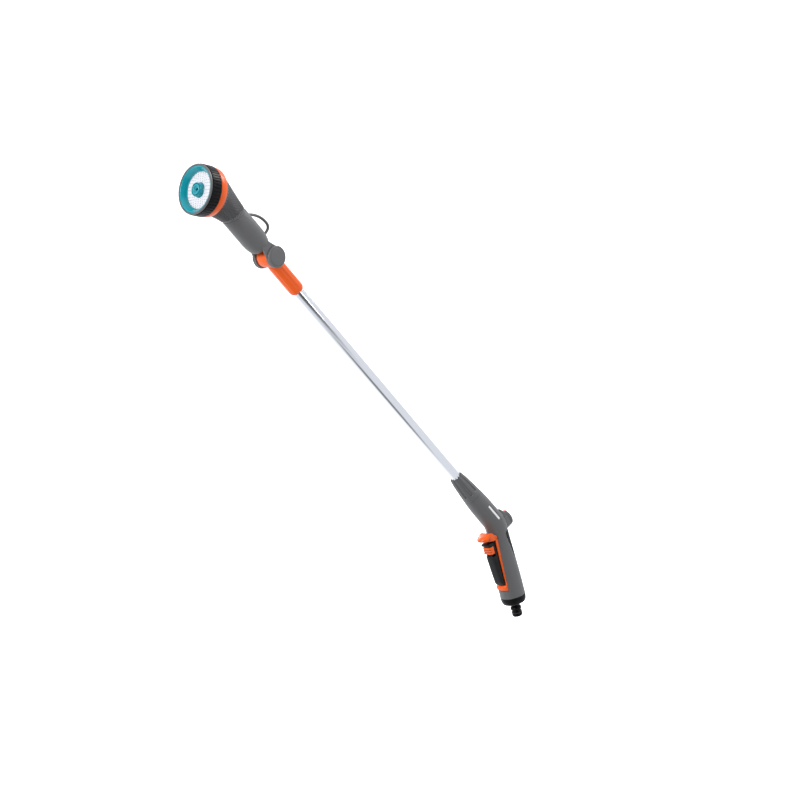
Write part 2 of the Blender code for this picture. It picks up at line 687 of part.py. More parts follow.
def make_trigger():
    """Black lever, hollow at the back, with the lock slider and the pivot pin."""
    to_pivot = Matrix.Translation(-TRIGGER_PIVOT)
    front = [(11.5, -22.4), (21.6, -22.4), (23.2, -18), (25.4, 0), (27.6, 20), (28.7, 30),
             (28.7, 43.6), (32.4, 45.4), (33.0, 48), (31.0, 49.2), (20.4, 49.2), (20.0, 45),
             (10.5, 38), (9.6, 0)]
    lever = side_plate("trigger", front, 8.2)
    pocket = side_plate("trigger_pocket", [(2, -15.5), (20.0, -15.5), (22.4, 0), (24.8, 20),
                                           (26.0, 30), (26.0, 46), (2, 46)], 6.4)
    hole = cross_rod("trigger_hole", 1.75, TRIGGER_PIVOT.x / MM, TRIGGER_PIVOT.z / MM, -20, 20)
    lock_slot = box("lock_slot", (24, -3.3, 28.0), (34, 3.3, 42.4))
    near_notch = box("near_notch", (22.6, CHEEK, 27.4), (30, 9, 43.6))
    far_notch = box("far_notch", (22.6, -9, 27.4), (30, -CHEEK, 43.6))
    cut(lever, pocket, hole, lock_slot, near_notch, far_notch)
    lever.data.transform(to_pivot)
    lever.parent = TRIGGER
    as_part(lever, BLACK)

    slider = side_plate("lock_slider", [(23.0, 31.8), (30.8, 31.8), (31.8, 33.2), (31.0, 35.4),
                                        (32.0, 37.4), (31.0, 39.6), (32.0, 41.6), (30.8, 43.2),
                                        (23.0, 43.2)], 8.2)
    inside = box("cheek_gap", (20, -CHEEK - GAP, 30), (28.7 + GAP, CHEEK + GAP, 45))
    cut(slider, inside)
    join(slider, box("lock_stem", (26.3, -2.9, 33.0), (30, 2.9, 42.0)))
    slider.data.transform(to_pivot)
    slider.parent = TRIGGER
    as_part(slider, ORANGE)

    pin = cross_rod("trigger_pin", 1.45, TRIGGER_PIVOT.x / MM, TRIGGER_PIVOT.z / MM, -10.6, 10.6)
    as_part(pin, STEEL)


INLET_X = -3.0                       # water enters the valve from below here
OUTLET_X = 8.0                       # and leaves it upwards here


def make_valve():
    """Trigger valve: its housing, stem, washer, spring and plug."""
    low_place = Matrix.Translation((INLET_X * MM, 0, 0))
    high_place = Matrix.Translation((OUTLET_X * MM, 0, 0))
    body = turned("valve_body", rod(5.9, -11.5, 11.5), VALVE, 20)
    inlet = turned("inlet_spigot", rod(4.6, 25.4, 34), None, 16, low_place)
    outlet = turned("outlet_spigot", rod(4.0, 38, 47), None, 16, high_place)
    join(body, inlet, outlet)
    rear = turned("rear_chamber", rod(4.7, -14, 5), VALVE, 16)
    front = turned("front_chamber", rod(4.2, 6.2, 9.8), VALVE, 16)
    seat = turned("seat_hole", rod(3.0, 4, 7), VALVE, 12)
    stem_hole = turned("stem_hole", rod(2.0, 8, 13), VALVE, 12)
    low_port = turned("low_port", rod(3.0, 24, 34), None, 12, low_place)
    high_port = turned("high_port", rod(1.8, 37, 48), None, 12, high_place)
    as_part(cut(body, rear, front, seat, stem_hole, low_port, high_port), NATURAL)

    stem = [(0, 25.4), (1.0, 25.4), (1.7, 24.6), (1.7, 3.1), (4.0, 3.1), (4.0, 1.6),
            (1.7, 1.6), (1.7, 0.2), (0, 0.2)]
    as_part(turned("valve_stem", stem, VALVE, 12), NATURAL)
    as_part(turned("valve_washer", ring(2.0, 4.3, 3.4, 4.7), VALVE, 16), RUBBER)

    turns, wire_r, coil_r = 4, 0.4, 3.3
    low, high = -8.6 + wire_r + GAP, 1.6 - wire_r - GAP
    count = turns * 10
    coil = []
    for i in range(count + 1):
        angle = 2 * math.pi * turns * i / count
        along = low + (high - low) * i / count
        coil.append((along, coil_r * math.cos(angle), VALVE_Z / MM + coil_r * math.sin(angle)))
    as_part(wire("valve_spring", coil, wire_r), STEEL)
    plug = [(0, -8.6), (4.4, -8.6), (4.4, -11.8), (5.9, -11.8), (5.9, -13.1), (0, -13.1)]
    as_part(turned("valve_plug", plug, VALVE, 16), NATURAL)


def make_pipes():
    """Water way from the nipple through the valve to the tube, and the flow regulator."""
    rise = bezier((0, 0, -43), (0, 0, -20), (INLET_X, 0, 5), (INLET_X, 0, 25), 8)
    as_part(pipe("inlet_pipe", rise, 4.6, 3.0), NATURAL)

    up = Vector((math.sin(TUBE_LEAN), 0, math.cos(TUBE_LEAN)))
    bend = Vector((0, 0, BEND_Z / MM))
    start = bend + up * 25
    bent = bezier((OUTLET_X, 0, 47.4), (OUTLET_X, 0, 58), start - up * 14, start, 7)
    outer = wire("outlet_pipe", [*bent, bend + up * 60], 4.5)
    cup = turned("receiver", [(0, 80), (10.3, 80), (10.3, 57), (5, 54), (0, 54)], TUBE, 24)
    stub = turned("regulator_stub", rod(4.2, -4, 14), KNOB, 16)
    join(outer, cup, stub)
    bore_path = [(OUTLET_X, 0, 46), *bent, bend + up * 62]
    bore = wire("outlet_bore", bore_path, 3.0)
    cup_bore = turned("receiver_bore", rod(TUBE_R / MM + GAP, 60, 90), TUBE, 24)
    stub_bore = turned("stub_bore", rod(2.5, -2, 20), KNOB, 16)
    as_part(cut(outer, bore, cup_bore, stub_bore), NATURAL)

    as_part(turned("tube_base_seal", ring(6.2, 8.1, 60.3, 61.7), TUBE, 20), RUBBER)

    spindle = [(0, 28.4), (2.1, 28.4), (2.1, 13.0), (1.4, 13.0), (1.4, 11.4), (2.1, 11.4),
               (2.1, 3.0), (0, 3.0)]
    as_part(turned("regulator_spindle", spindle, KNOB, 16), NATURAL)
    as_part(turned("regulator_seal", ring(1.7, 2.3, 11.7, 12.7), KNOB, 16), RUBBER)


def make_knob():
    """Thumb knob of the flow regulator with its orange pointer."""
    profile = [(0, 31.6), (10.6, 31.6), (12.4, 30.6), (12.9, 28.8), (12.9, 24.3), (10.4, 24.3),
               (10.4, 28.2), (0, 28.2)]
    oval = Matrix.Diagonal((1, 0.74, 1, 1))
    knob = turned("flow_knob", profile, KNOB, 24, oval)
    socket = turned("knob_socket", [(0, 29.8), (2.4, 29.8), (2.4, 26), (0, 26)], KNOB, 16)
    notch = box("pointer_notch", (8.2, -2.6, 24.0), (15, 2.6, 33), KNOB)
    as_part(cut(knob, socket, notch), DARK_GREY)
    pointer = box("knob_pointer", (8.5, -2.3, 28.5), (12.6, 2.3, 31.4), KNOB)
    skirt = box("pointer_skirt", (10.7, -2.3, 24.8), (12.6, 2.3, 29.5), KNOB)
    as_part(join(pointer, skirt), ORANGE)


def make_base():
    """Black end cap and the quick-connector nipple."""
    cap = [(17.4, -47.5), (19.8, -47.5), (19.6, -52), (18.6, -57.0), (16.4, -59.8),
           (7.2, -59.8), (7.2, -57.4), (15.6, -57.4), (17.2, -54.0)]
    as_part(turned("bottom_cap", cap, None, 28), BLACK)
    tip = NIPPLE_TIP_Z / MM
    nipple = [(5.1, -44.6), (12.0, -44.6), (12.0, -46.6), (9.4, -48), (9.4, -57.0), (6.8, -57.0),
              (6.8, -65.6), (8.5, -67.0), (8.5, -70.4), (7.4, -71.4), (7.4, -73.6),
              (8.1, -73.8), (8.1, -75.2), (6.7, -75.2), (6.7, -77.4), (8.1, -77.4),
              (8.1, -79.4), (7.0, tip), (4.6, tip), (4.6, -47), (5.1, -47)]
    as_part(turned("hose_nipple", nipple, None, 24), BLACK)
    as_part(turned("nipple_oring", [(7.0, -75.5), (7.8, -75.5), (8.35, -75.9), (8.35, -76.7),
                                    (7.8, -77.1), (7.0, -77.1)], None, 24), RUBBER)


make_face()
make_head()
make_neck()
make_joint()
make_nut()
make_shell("handle_shell_left", 1)
make_shell("handle_shell_right", -1)
make_screws()
make_pad()
make_bezel()
make_trigger()
make_valve()
make_pipes()
make_knob()
make_base()
bpy.data.collections.remove(CUTTERS)
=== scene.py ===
import json
import math

import bmesh
import bpy
from mathutils import Matrix, Quaternion, Vector


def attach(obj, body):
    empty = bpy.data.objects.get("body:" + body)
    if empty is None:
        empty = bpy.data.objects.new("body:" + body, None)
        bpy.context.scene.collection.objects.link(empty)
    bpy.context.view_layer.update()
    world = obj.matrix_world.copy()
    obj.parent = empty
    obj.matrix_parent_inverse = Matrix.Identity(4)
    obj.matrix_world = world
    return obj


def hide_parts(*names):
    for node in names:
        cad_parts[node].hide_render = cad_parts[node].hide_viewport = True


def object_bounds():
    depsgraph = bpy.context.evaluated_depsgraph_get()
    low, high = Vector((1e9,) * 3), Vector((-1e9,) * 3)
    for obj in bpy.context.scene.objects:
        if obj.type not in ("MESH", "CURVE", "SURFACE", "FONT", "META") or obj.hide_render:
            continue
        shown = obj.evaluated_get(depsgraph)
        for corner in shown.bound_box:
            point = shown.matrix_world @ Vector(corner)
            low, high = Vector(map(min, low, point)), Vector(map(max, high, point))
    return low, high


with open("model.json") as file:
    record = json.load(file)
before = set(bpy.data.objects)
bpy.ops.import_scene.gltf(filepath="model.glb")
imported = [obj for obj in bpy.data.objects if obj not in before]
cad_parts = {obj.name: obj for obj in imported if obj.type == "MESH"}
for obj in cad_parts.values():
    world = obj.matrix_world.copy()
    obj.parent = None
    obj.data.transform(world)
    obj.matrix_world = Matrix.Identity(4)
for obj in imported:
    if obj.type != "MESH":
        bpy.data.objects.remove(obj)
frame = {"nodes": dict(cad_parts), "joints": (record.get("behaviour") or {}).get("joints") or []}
cad_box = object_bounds()

# Floor ----------------------------------------------------------------------
# A pale studio table far below the wand, which is shown as if it were held up, so
# that only the softest shade of it falls on the table.

FLOOR_DROP = 0.42
FLOOR_HALF = 60.0
FLOOR_GLOW = 0.85


def placed(name, data):
    """A new object in the scene."""
    made = bpy.data.objects.new(name, data)
    bpy.context.scene.collection.objects.link(made)
    return made


floor_mesh = bpy.data.meshes.new("studio_floor")
sheet = bmesh.new()
bmesh.ops.create_grid(sheet, x_segments=8, y_segments=8, size=FLOOR_HALF)
bmesh.ops.translate(sheet, verts=sheet.verts, vec=(0, 0, cad_box[0].z - FLOOR_DROP))
sheet.to_mesh(floor_mesh)
sheet.free()
floor = placed("studio_floor", floor_mesh)
floor.visible_diffuse = False
floor.visible_glossy = False


class Value:
    """An output in a node tree; arithmetic on values and numbers adds the Math nodes."""

    def __init__(self, network, socket):
        self.network = network
        self.socket = socket

    def maths(self, operation, first, second=0.0):
        return self.network.node("ShaderNodeMath", {"operation": operation},
                                 {0: first, 1: second})

    def __add__(self, other):
        return self.maths("ADD", self, other)

    def __sub__(self, other):
        return self.maths("SUBTRACT", self, other)

    def __rsub__(self, other):
        return self.maths("SUBTRACT", other, self)

    def __mul__(self, other):
        return self.maths("MULTIPLY", self, other)

    __radd__ = __add__
    __rmul__ = __mul__

    def over(self, edge, softness):
        """1 where the value is above the edge, 0 below it, over a soft step."""
        return self.network.node("ShaderNodeMapRange", {"interpolation_type": "SMOOTHSTEP"},
                                 {"Value": self, "From Min": edge - softness,
                                  "From Max": edge + softness})


class Network:
    """A node tree in the making, round its one shader."""

    def __init__(self, tree, shader):
        self.tree = tree
        self.shader = tree.nodes[shader]

    def feed(self, name, value):
        self.tree.links.new(value.socket, self.shader.inputs[name])

    def node(self, kind, settings=None, sockets=None, output=0):
        made = self.tree.nodes.new(kind)
        for name, setting in (settings or {}).items():
            setattr(made, name, setting)
        for name, value in (sockets or {}).items():
            if isinstance(value, Value):
                self.tree.links.new(value.socket, made.inputs[name])
            else:
                made.inputs[name].default_value = value
        return Value(self, made.outputs[output])


class Finish(Network):
    """A material in the making, on one Principled shader."""

    def __init__(self, name, **constants):
        self.material = bpy.data.materials.new(name)
        self.material.use_nodes = True
        super().__init__(self.material.node_tree, "Principled BSDF")
        for constant, setting in constants.items():
            self.shader.inputs[constant.replace("_", " ")].default_value = setting
        self.place = self.node("ShaderNodeTexCoord", output="Object")

    def noise(self, size, detail=2.0, at=None):
        """Cloudy values between 0 and 1, whose blots are about size metres across."""
        return self.node("ShaderNodeTexNoise", {},
                         {"Vector": at or self.place, "Scale": 1 / size, "Detail": detail})

    def mix(self, factor, first, second):
        """A colour between two colours."""
        return self.node("ShaderNodeMix", {"data_type": "RGBA"},
                         {0: factor, 6: first, 7: second}, output=2)

    def wear_and_shade(self):
        """The value noted on a mould when it is settled, which gives painted shade in corners and
        painted highlights on ridges, and where it has rubbed the surface.
        """
        noted = self.node("ShaderNodeAttribute", {"attribute_name": "wear_and_shade"}, output="Fac")
        return noted, noted.over(0.5, 0.5) * self.noise(0.006, 3).over(0.5, 0.12)

    def bump(self, height, distance):
        """Raises the surface by height times distance, in metres."""
        relief = self.node("ShaderNodeBump", {}, {"Height": height, "Distance": distance})
        self.feed("Normal", relief)


def shade(colour, share):
    """The colour made lighter or darker by a share, as the node sockets take it."""
    return (*(min(1.0, part * share) for part in colour), 1.0)


table_finish = Finish("table_paint", Roughness=0.9, Emission_Strength=FLOOR_GLOW,
                      Emission_Color=(1, 1, 1, 1))
table_cloud = table_finish.noise(0.5)
table_finish.feed("Base Color", table_finish.mix(table_cloud, (0.90, 0.90, 0.91, 1),
                                                 (0.92, 0.92, 0.93, 1)))
floor_mesh.materials.append(table_finish.material)

# Light and camera -------------------------------------------------------------
# Soft lamps: the main one high on the left, a long one on the right and one behind for
# the rims. The room is bright behind the wand and dim on the camera's side and under it,
# which draws the dark line along the tube.

bpy.context.scene.view_settings.view_transform = "Standard"
CAMERA_TURN = math.radians(138.18)
CAMERA_RISE = math.radians(13.87)
CAMERA_ROLL = math.radians(14.17)
CAMERA_REACH = 3.649
AIM = Vector((0.1647, 0.0408, 0.3328))
back = Vector((math.sin(CAMERA_TURN) * math.cos(CAMERA_RISE),
               -math.cos(CAMERA_TURN) * math.cos(CAMERA_RISE), math.sin(CAMERA_RISE)))
ROOM_BRIGHT = 0.92
ROOM_DIM = 0.10
UNDER = (0.445, 0.190, -0.875)
UNDER_SHADE = 0.72
LOW_LEFT = (-0.24, -0.84, -0.48)

world = bpy.data.worlds.new("studio_room")
world.use_nodes = True
bpy.context.scene.world = world
room = Network(world.node_tree, "Background")
room.shader.inputs["Color"].default_value = (0.94, 0.96, 1.0, 1)


def toward(direction):
    """How nearly a ray into the room goes in a direction: 1 is straight at it."""
    ray = room.node("ShaderNodeTexCoord", output="Generated")
    return room.node("ShaderNodeVectorMath", {"operation": "DOT_PRODUCT"},
                     {0: ray, 1: direction}, output="Value")


camera_side = toward(back).over(0.68, 0.14)
low_left = toward(LOW_LEFT).over(0.6, 0.3)
below = toward(UNDER).over(0.955, 0.03)
room.feed("Strength", (ROOM_BRIGHT - camera_side * (ROOM_BRIGHT - ROOM_DIM))
          * (1 - below * UNDER_SHADE) * (1 + low_left * 0.5))

middle = (cad_box[0] + cad_box[1]) / 2
lens = bpy.data.cameras.new("studio_camera")
lens.lens = 112.5
lens.sensor_width = 36.0
camera = placed("studio_camera", lens)
camera.location = AIM + back * CAMERA_REACH
camera.rotation_mode = "QUATERNION"
camera.rotation_quaternion = (back.to_track_quat("Z", "Y")
                              @ Quaternion((0, 0, 1), -CAMERA_ROLL))
bpy.context.scene.camera = camera


def softbox(name, place, width, height, power):
    """A rectangular soft lamp that faces the middle of the wand."""
    lamp = bpy.data.lights.new(name, "AREA")
    lamp.shape = "RECTANGLE"
    lamp.size = width
    lamp.size_y = height
    lamp.energy = power
    holder = placed(name, lamp)
    holder.location = place
    holder.rotation_mode = "QUATERNION"
    holder.rotation_quaternion = (Vector(place) - middle).to_track_quat("Z", "Y")


softbox("main_lamp", (2.6, 0.2, 2.2), 1.2, 1.2, 62)
softbox("side_lamp", (0.3, 2.8, 1.0), 0.5, 2.2, 14)
softbox("rim_lamp", (-2.2, 0.8, 2.0), 1.2, 1.0, 40)
softbox("back_lamp", (-0.8, -2.6, 1.4), 1.2, 1.2, 26)

# Selector head: working axes --------------------------------------------------
# All pieces are drawn in millimetres on the axis that they are turned on, and then put
# on the wand: the head axis, the tilt joint on the tube axis, the bend, the dial, the grip.

MM = 0.001
TUBE_LEAN = math.radians(30)
joints = {joint["name"]: joint for joint in frame["joints"]}


def on_axis(point, lean):
    return Matrix.Translation(point) @ Matrix.Rotation(lean, 4, "Y") @ Matrix.Scale(MM, 4)


def joint_axis(name):
    """The place of a joint whose axis lies in the wand's middle plane."""
    axis = joints[name]["axis"]
    return on_axis(joints[name]["pos_m"], math.atan2(axis[0], axis[2]))


tilt_point = Vector(joints["head_tilt"]["pos_m"])
tube_up = Vector((math.sin(TUBE_LEAN), 0, math.cos(TUBE_LEAN)))
HINGE_UP = tilt_point.x / tube_up.x / MM
HEAD_AXIS = joint_axis("selector_turn")
DIAL_AXIS = joint_axis("flow_turn")
TILT_AXIS = on_axis(tilt_point, TUBE_LEAN)
BEND_AXIS = on_axis(tilt_point - tube_up * HINGE_UP * MM, TUBE_LEAN)
GRIP_AXIS = Matrix.Scale(MM, 4)
ACROSS = Matrix.Rotation(-math.pi / 2, 4, "X")


def spun(profile, steps=96):
    """A turned mould from (radius, height) points, run down its outer side."""
    mould = bmesh.new()
    points = [mould.verts.new((radius, 0, height)) for radius, height in profile]
    edges = [mould.edges.new(pair) for pair in zip(points, points[1:])]
    if profile[0][0] > 0:
        edges.append(mould.edges.new((points[-1], points[0])))
    bmesh.ops.spin(mould, geom=points + edges, cent=(0, 0, 0), axis=(0, 0, 1),
                   angle=math.tau, steps=steps, use_merge=True)
    bmesh.ops.remove_doubles(mould, verts=mould.verts, dist=0.002)
    bmesh.ops.recalc_face_normals(mould, faces=mould.faces)
    return mould


def moved(mould, matrix):
    """Moves a whole mould and returns it."""
    bmesh.ops.transform(mould, matrix=matrix, verts=mould.verts)
    return mould


def soften(mould, width, sharp=35, segments=3, where=None):
    """Rounds the edges that turn by more than sharp degrees, as moulding leaves them."""
    limit = math.radians(sharp)
    edges = [edge for edge in mould.edges
             if edge.is_manifold and edge.calc_face_angle(0) > limit
             and (where is None or where(edge))]
    bmesh.ops.bevel(mould, geom=edges, offset=width, offset_type="OFFSET", affect="EDGES",
                    segments=segments, profile=0.5, material=-1, clamp_overlap=True)
    return mould


def mark_wear_and_shade(mould):
    """Notes how far each point stands out (to 1) or lies in a corner (to -1): the materials rub
    the edges that stand out, paint shade into the corners and, with relief, paint a highlight on
    the ridges.
    """
    wear_and_shade = mould.verts.layers.float.new("wear_and_shade")
    full = math.radians(30)
    for vert in mould.verts:
        turns = [edge.calc_face_angle_signed(0) for edge in vert.link_edges if edge.is_manifold]
        sharpest = max(turns, key=abs, default=0.0)
        vert[wear_and_shade] = max(-1.0, min(1.0, sharpest / full))


def settle(mould, name, axis, finishes, body, slot, *nodes, sharp=35):
    """Puts a finished mould on the wand, for the CAD nodes that it stands for."""
    mark_wear_and_shade(mould)
    mesh = bpy.data.meshes.new(name)
    moved(mould, axis).to_mesh(mesh)
    mould.free()
    mesh.shade_smooth()
    mesh.set_sharp_from_angle(angle=math.radians(sharp))
    for finish in finishes if isinstance(finishes, tuple) else (finishes,):
        mesh.materials.append(finish)
    piece = placed(name, mesh)
    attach(piece, body)
    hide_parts(*nodes)


def moulded(name, colour, roughness, grain=0.02, grain_size=0.7, drift=0.06, polish=0.05,
            relief=0.0, **constants):
    """Injection-moulded plastic: drifting pigment, spark-eroded grain, polished edges, painted
    shade in corners and creases and, with relief, a painted highlight on its ridges.
    """
    finish = Finish(name, **constants)
    cloud = finish.noise(0.03, 3)
    fleck = finish.noise(0.0025, 3)
    wear_and_shade, rub = finish.wear_and_shade()
    corner = 1 - wear_and_shade.over(-0.5, 0.45)
    body_colour = finish.mix(cloud * 0.7 + fleck * 0.3, shade(colour, 1 - drift),
                             shade(colour, 1 + drift))
    # Painted highlight: with relief, the points that stand out most are painted lighter, up to 2.6
    # times the colour.
    if relief:
        body_colour = finish.mix(wear_and_shade.over(0.3, 0.7) * relief, body_colour, shade(colour, 2.6))
    worn = shade([part * 0.9 + 0.03 for part in colour], 1.15)
    # Painted shade: points that lie in corners and creases are painted darker, towards a quarter
    # of the colour.
    body_colour = finish.mix(corner * 0.7, body_colour, shade(colour, 0.25))
    finish.feed("Base Color", finish.mix(rub * 0.25, body_colour, worn))
    finish.feed("Roughness", roughness + (fleck - 0.5) * 0.08 - rub * polish)
    finish.bump(finish.noise(grain_size * MM, 2), grain * MM)
    return finish.material


DARK_GREY = (0.124, 0.124, 0.125)
BLACK = (0.003, 0.003, 0.0035)
TEAL = (0.001, 0.31, 0.38)
ORANGE = (0.93, 0.118, 0.004)

# Dark rim ---------------------------------------------------------------------
# Thin grey frame round the spray face, moulded in satin plastic and snapped over the
# ribbed ring, so that it turns with the ring.

FACE = 36.5
RIM_R = 35.7


def behind_face(*points):
    """Profile points of the head, given as radius and depth behind the spray face."""
    return [(radius, FACE - depth) for radius, depth in points]


satin_grey = moulded("satin_grey", DARK_GREY, 0.42, grain=0.012, grain_size=0.5)
rim = spun(behind_face((33.3, 0.5), (33.9, 0), (35.0, 0), (RIM_R, 0.8), (RIM_R, 3.0),
                       (33.3, 3.0)), 128)
settle(soften(rim, 0.22), "dark_rim", HEAD_AXIS, satin_grey, "face", "dark_grey", "face_rim")

# Ribbed ring ------------------------------------------------------------------
# Black grip ring, turned by hand to choose a pattern: hard plastic with forty-eight
# grooves moulded into its outside.

RIBS = 48
STEPS_PER_RIB = 4
RING_R = 36.35
satin_black = moulded("satin_black", BLACK, 0.34, grain=0.015, grain_size=0.6,
                      Specular_IOR_Level=0.14)
ring = spun(behind_face((30.5, 3.3), (35.5, 3.3), (RING_R, 4.2), (RING_R, 18.6),
                        (35.5, 19.4), (30.5, 19.4)), RIBS * STEPS_PER_RIB)


def column(point, count):
    """The number of the sector that a point is in, of count sectors round the axis."""
    return int((math.atan2(point.y, point.x) % math.tau) / math.tau * count)


grooves = [face for face in ring.faces
           if face.normal.to_2d().length > 0.9 and face.calc_center_median().to_2d().length > 36
           and column(face.calc_center_median(), RIBS * STEPS_PER_RIB) % STEPS_PER_RIB == 0]
bmesh.ops.inset_region(ring, faces=grooves, thickness=0.28, depth=-0.75, use_boundary=True,
                       use_even_offset=True)
settle(soften(ring, 0.14, segments=2), "ribbed_ring", HEAD_AXIS, satin_black, "face",
       "black_plastic", "selector_ring")

# Teal funnel --------------------------------------------------------------------
# Glossy cone that leads from the rim down to the spray plate, clipped in with the plate.

gloss_teal = moulded("gloss_teal", TEAL, 0.26, grain=0.004, grain_size=1.2, drift=0.09,
                     Coat_Weight=0.25, Coat_Roughness=0.12)
funnel = spun(behind_face((32.3, 0.7), (33.0, 0.8), (33.0, 2.9), (30.2, 3.2), (30.2, 11.2),
                          (26.4, 11.2), (26.4, 8.3), (27.3, 7.6), (30.6, 2.7), (31.5, 1.3)),
              128)
settle(soften(funnel, 0.2, sharp=30), "teal_funnel", HEAD_AXIS, gloss_teal, "face",
       "teal_plastic", "spray_funnel")

# Jet plate ----------------------------------------------------------------------
# Pale rose plate, gently crowned, with rings of small raised jets. Each jet is a low
# dome with a shallow bore, whose faces are painted dark as the bore's shadow.

PLATE_TOP = FACE - 8.9
JET_RINGS = ((13.2, 16), (16.4, 20), (19.5, 24), (22.4, 28), (24.9, 32))
pale_satin = moulded("pale_satin", (0.72, 0.71, 0.745), 0.38, grain=0.006, drift=0.03)
bore_shadow = moulded("bore_shadow", (0.10, 0.10, 0.11), 0.7)
plate = spun([(11.0, PLATE_TOP), (15.0, PLATE_TOP + 0.22), (20.0, PLATE_TOP + 0.2),
              (25.2, PLATE_TOP - 0.05), (26.1, PLATE_TOP - 0.3), (26.1, FACE - 11.2),
              (11.0, FACE - 11.2)], 128)
JET = [(0, 0.12), (0.52, 0.12), (0.52, 0.36), (0.76, 0.38), (1.04, 0.08), (1.1, -0.4), (0, -0.4)]
BORE_R = 0.525
for radius, count in JET_RINGS:
    spot = Vector((radius, 0, PLATE_TOP + 0.16))
    outline = [plate.verts.new(spot + Vector((r, 0, h))) for r, h in JET]
    edges = [plate.edges.new(pair) for pair in zip(outline, outline[1:])]
    known = set(plate.faces)
    bmesh.ops.spin(plate, geom=outline + edges, cent=spot, axis=(0, 0, 1), angle=math.tau,
                   steps=10, use_merge=True)
    jet = [face for face in plate.faces if face not in known]
    bmesh.ops.remove_doubles(plate, verts=list({v for f in jet for v in f.verts}), dist=0.002)
    jet = [face for face in plate.faces if face not in known]
    bmesh.ops.recalc_face_normals(plate, faces=jet)
    for face in jet:
        # The bore's faces take the painted shadow.
        inward = (face.calc_center_median() - spot).to_2d().length < BORE_R
        face.material_index = 1 if inward and face.calc_center_median().z > spot.z else 0
    bmesh.ops.spin(plate, geom=jet, cent=(0, 0, 0), axis=(0, 0, 1),
                   angle=math.tau * (count - 1) / count, steps=count - 1, use_duplicate=True)
settle(plate, "jet_plate", HEAD_AXIS, (pale_satin, bore_shadow), "face", "pale_plastic",
       "spray_plate", sharp=40)

# Centre nozzle --------------------------------------------------------------------
# Teal nozzle that stands in the middle of the plate, with stepped rings for the mist,
# the cone and the jet.

nozzle = spun(behind_face((2.2, 4.9), (2.9, 3.7), (4.5, 3.5), (5.2, 2.2), (5.7, 2.0),
                          (6.9, 2.0), (7.4, 2.3), (7.7, 4.2), (8.6, 4.2), (8.8, 2.6),
                          (9.1, 2.2), (9.6, 2.3), (9.9, 3.0), (9.9, 8.3), (10.7, 8.6),
                          (10.7, 12.0), (2.2, 12.0)))
settle(soften(nozzle, 0.12, sharp=30, segments=2), "jet_nozzle", HEAD_AXIS, gloss_teal, "face",
       "teal_plastic", "centre_nozzle")

# Orange band ----------------------------------------------------------------------
# Fixed ring behind the ribbed one, glossy, with the head's cone behind it.

gloss_orange = moulded("gloss_orange", ORANGE, 0.30, grain=0.005, grain_size=1.5, drift=0.07,
                       Specular_IOR_Level=0.38)
band = spun(behind_face((30.2, 19.7), (34.6, 19.7), (35.1, 20.1), (35.3, 21.0), (35.3, 24.0),
                        (35.0, 27.0), (34.4, 29.4), (33.6, 30.8), (32.6, 31.2), (29.6, 31.2),
                        (29.6, 23.0), (30.2, 22.8)), 128)
settle(soften(band, 0.2), "orange_band", HEAD_AXIS, gloss_orange, "head", "orange_plastic",
       "accent_ring")

# Knurled cone ---------------------------------------------------------------------
# Grey cone from the neck to the orange band: a moulded shell whose outside has a fine
# diamond knurl, with a plain border at each end. Its grey is painted darker as shade in the
# knurl, and the knurl's peaks are painted lighter as a highlight.

NECK_R = 18.3
SEAM_UP = 85.0
SEAM_TILT = math.radians(-12)
CONE_END_R = 31.0
CONE_WALL = 2.2
CONE_COLUMNS = 84
KNURL_RISE = 0.7
HEAD_UP = (Vector(joints["selector_turn"]["pos_m"]) - tilt_point).length / MM
HEAD_LEAN = math.atan2(joints["selector_turn"]["axis"][0],
                       joints["selector_turn"]["axis"][2]) - TUBE_LEAN


def turned_to(centre, lean, depth, width):
    """The affine frame that puts a unit outline at centre, leaning and scaled."""
    return (Matrix.Translation(centre) @ Matrix.Rotation(lean, 4, "Y")
            @ Matrix.Diagonal((depth, width, 1, 1)))


def drawn(mould, rim, places):
    """Draws a flat unit outline through frames and returns its rows of points."""
    rows = [list({vert for edge in rim for vert in edge.verts})]
    bmesh.ops.transform(mould, matrix=places[0], verts=rows[0])
    for was, place in zip(places, places[1:]):
        grown = bmesh.ops.extrude_edge_only(mould, edges=rim)["geom"]
        row = [item for item in grown if isinstance(item, bmesh.types.BMVert)]
        new = set(row)
        rim = [item for item in grown if isinstance(item, bmesh.types.BMEdge)
               and item.verts[0] in new and item.verts[1] in new]
        bmesh.ops.transform(mould, matrix=place @ was.inverted(), verts=row)
        rows.append(row)
    return rows, rim


def cone_place(share, wall):
    """One ring of the cone, from the neck seam (0) to the orange band (1)."""
    foot = Vector((0, 0, SEAM_UP))
    end = Vector((0, 0, HEAD_UP)) + Matrix.Rotation(HEAD_LEAN, 3, "Y") @ Vector(
        (0, 0, FACE - 31.6))
    radius = NECK_R + (CONE_END_R - NECK_R) * share ** 1.6 - wall
    return turned_to(foot.lerp(end, share), SEAM_TILT + (HEAD_LEAN - SEAM_TILT) * share,
                     radius, radius)


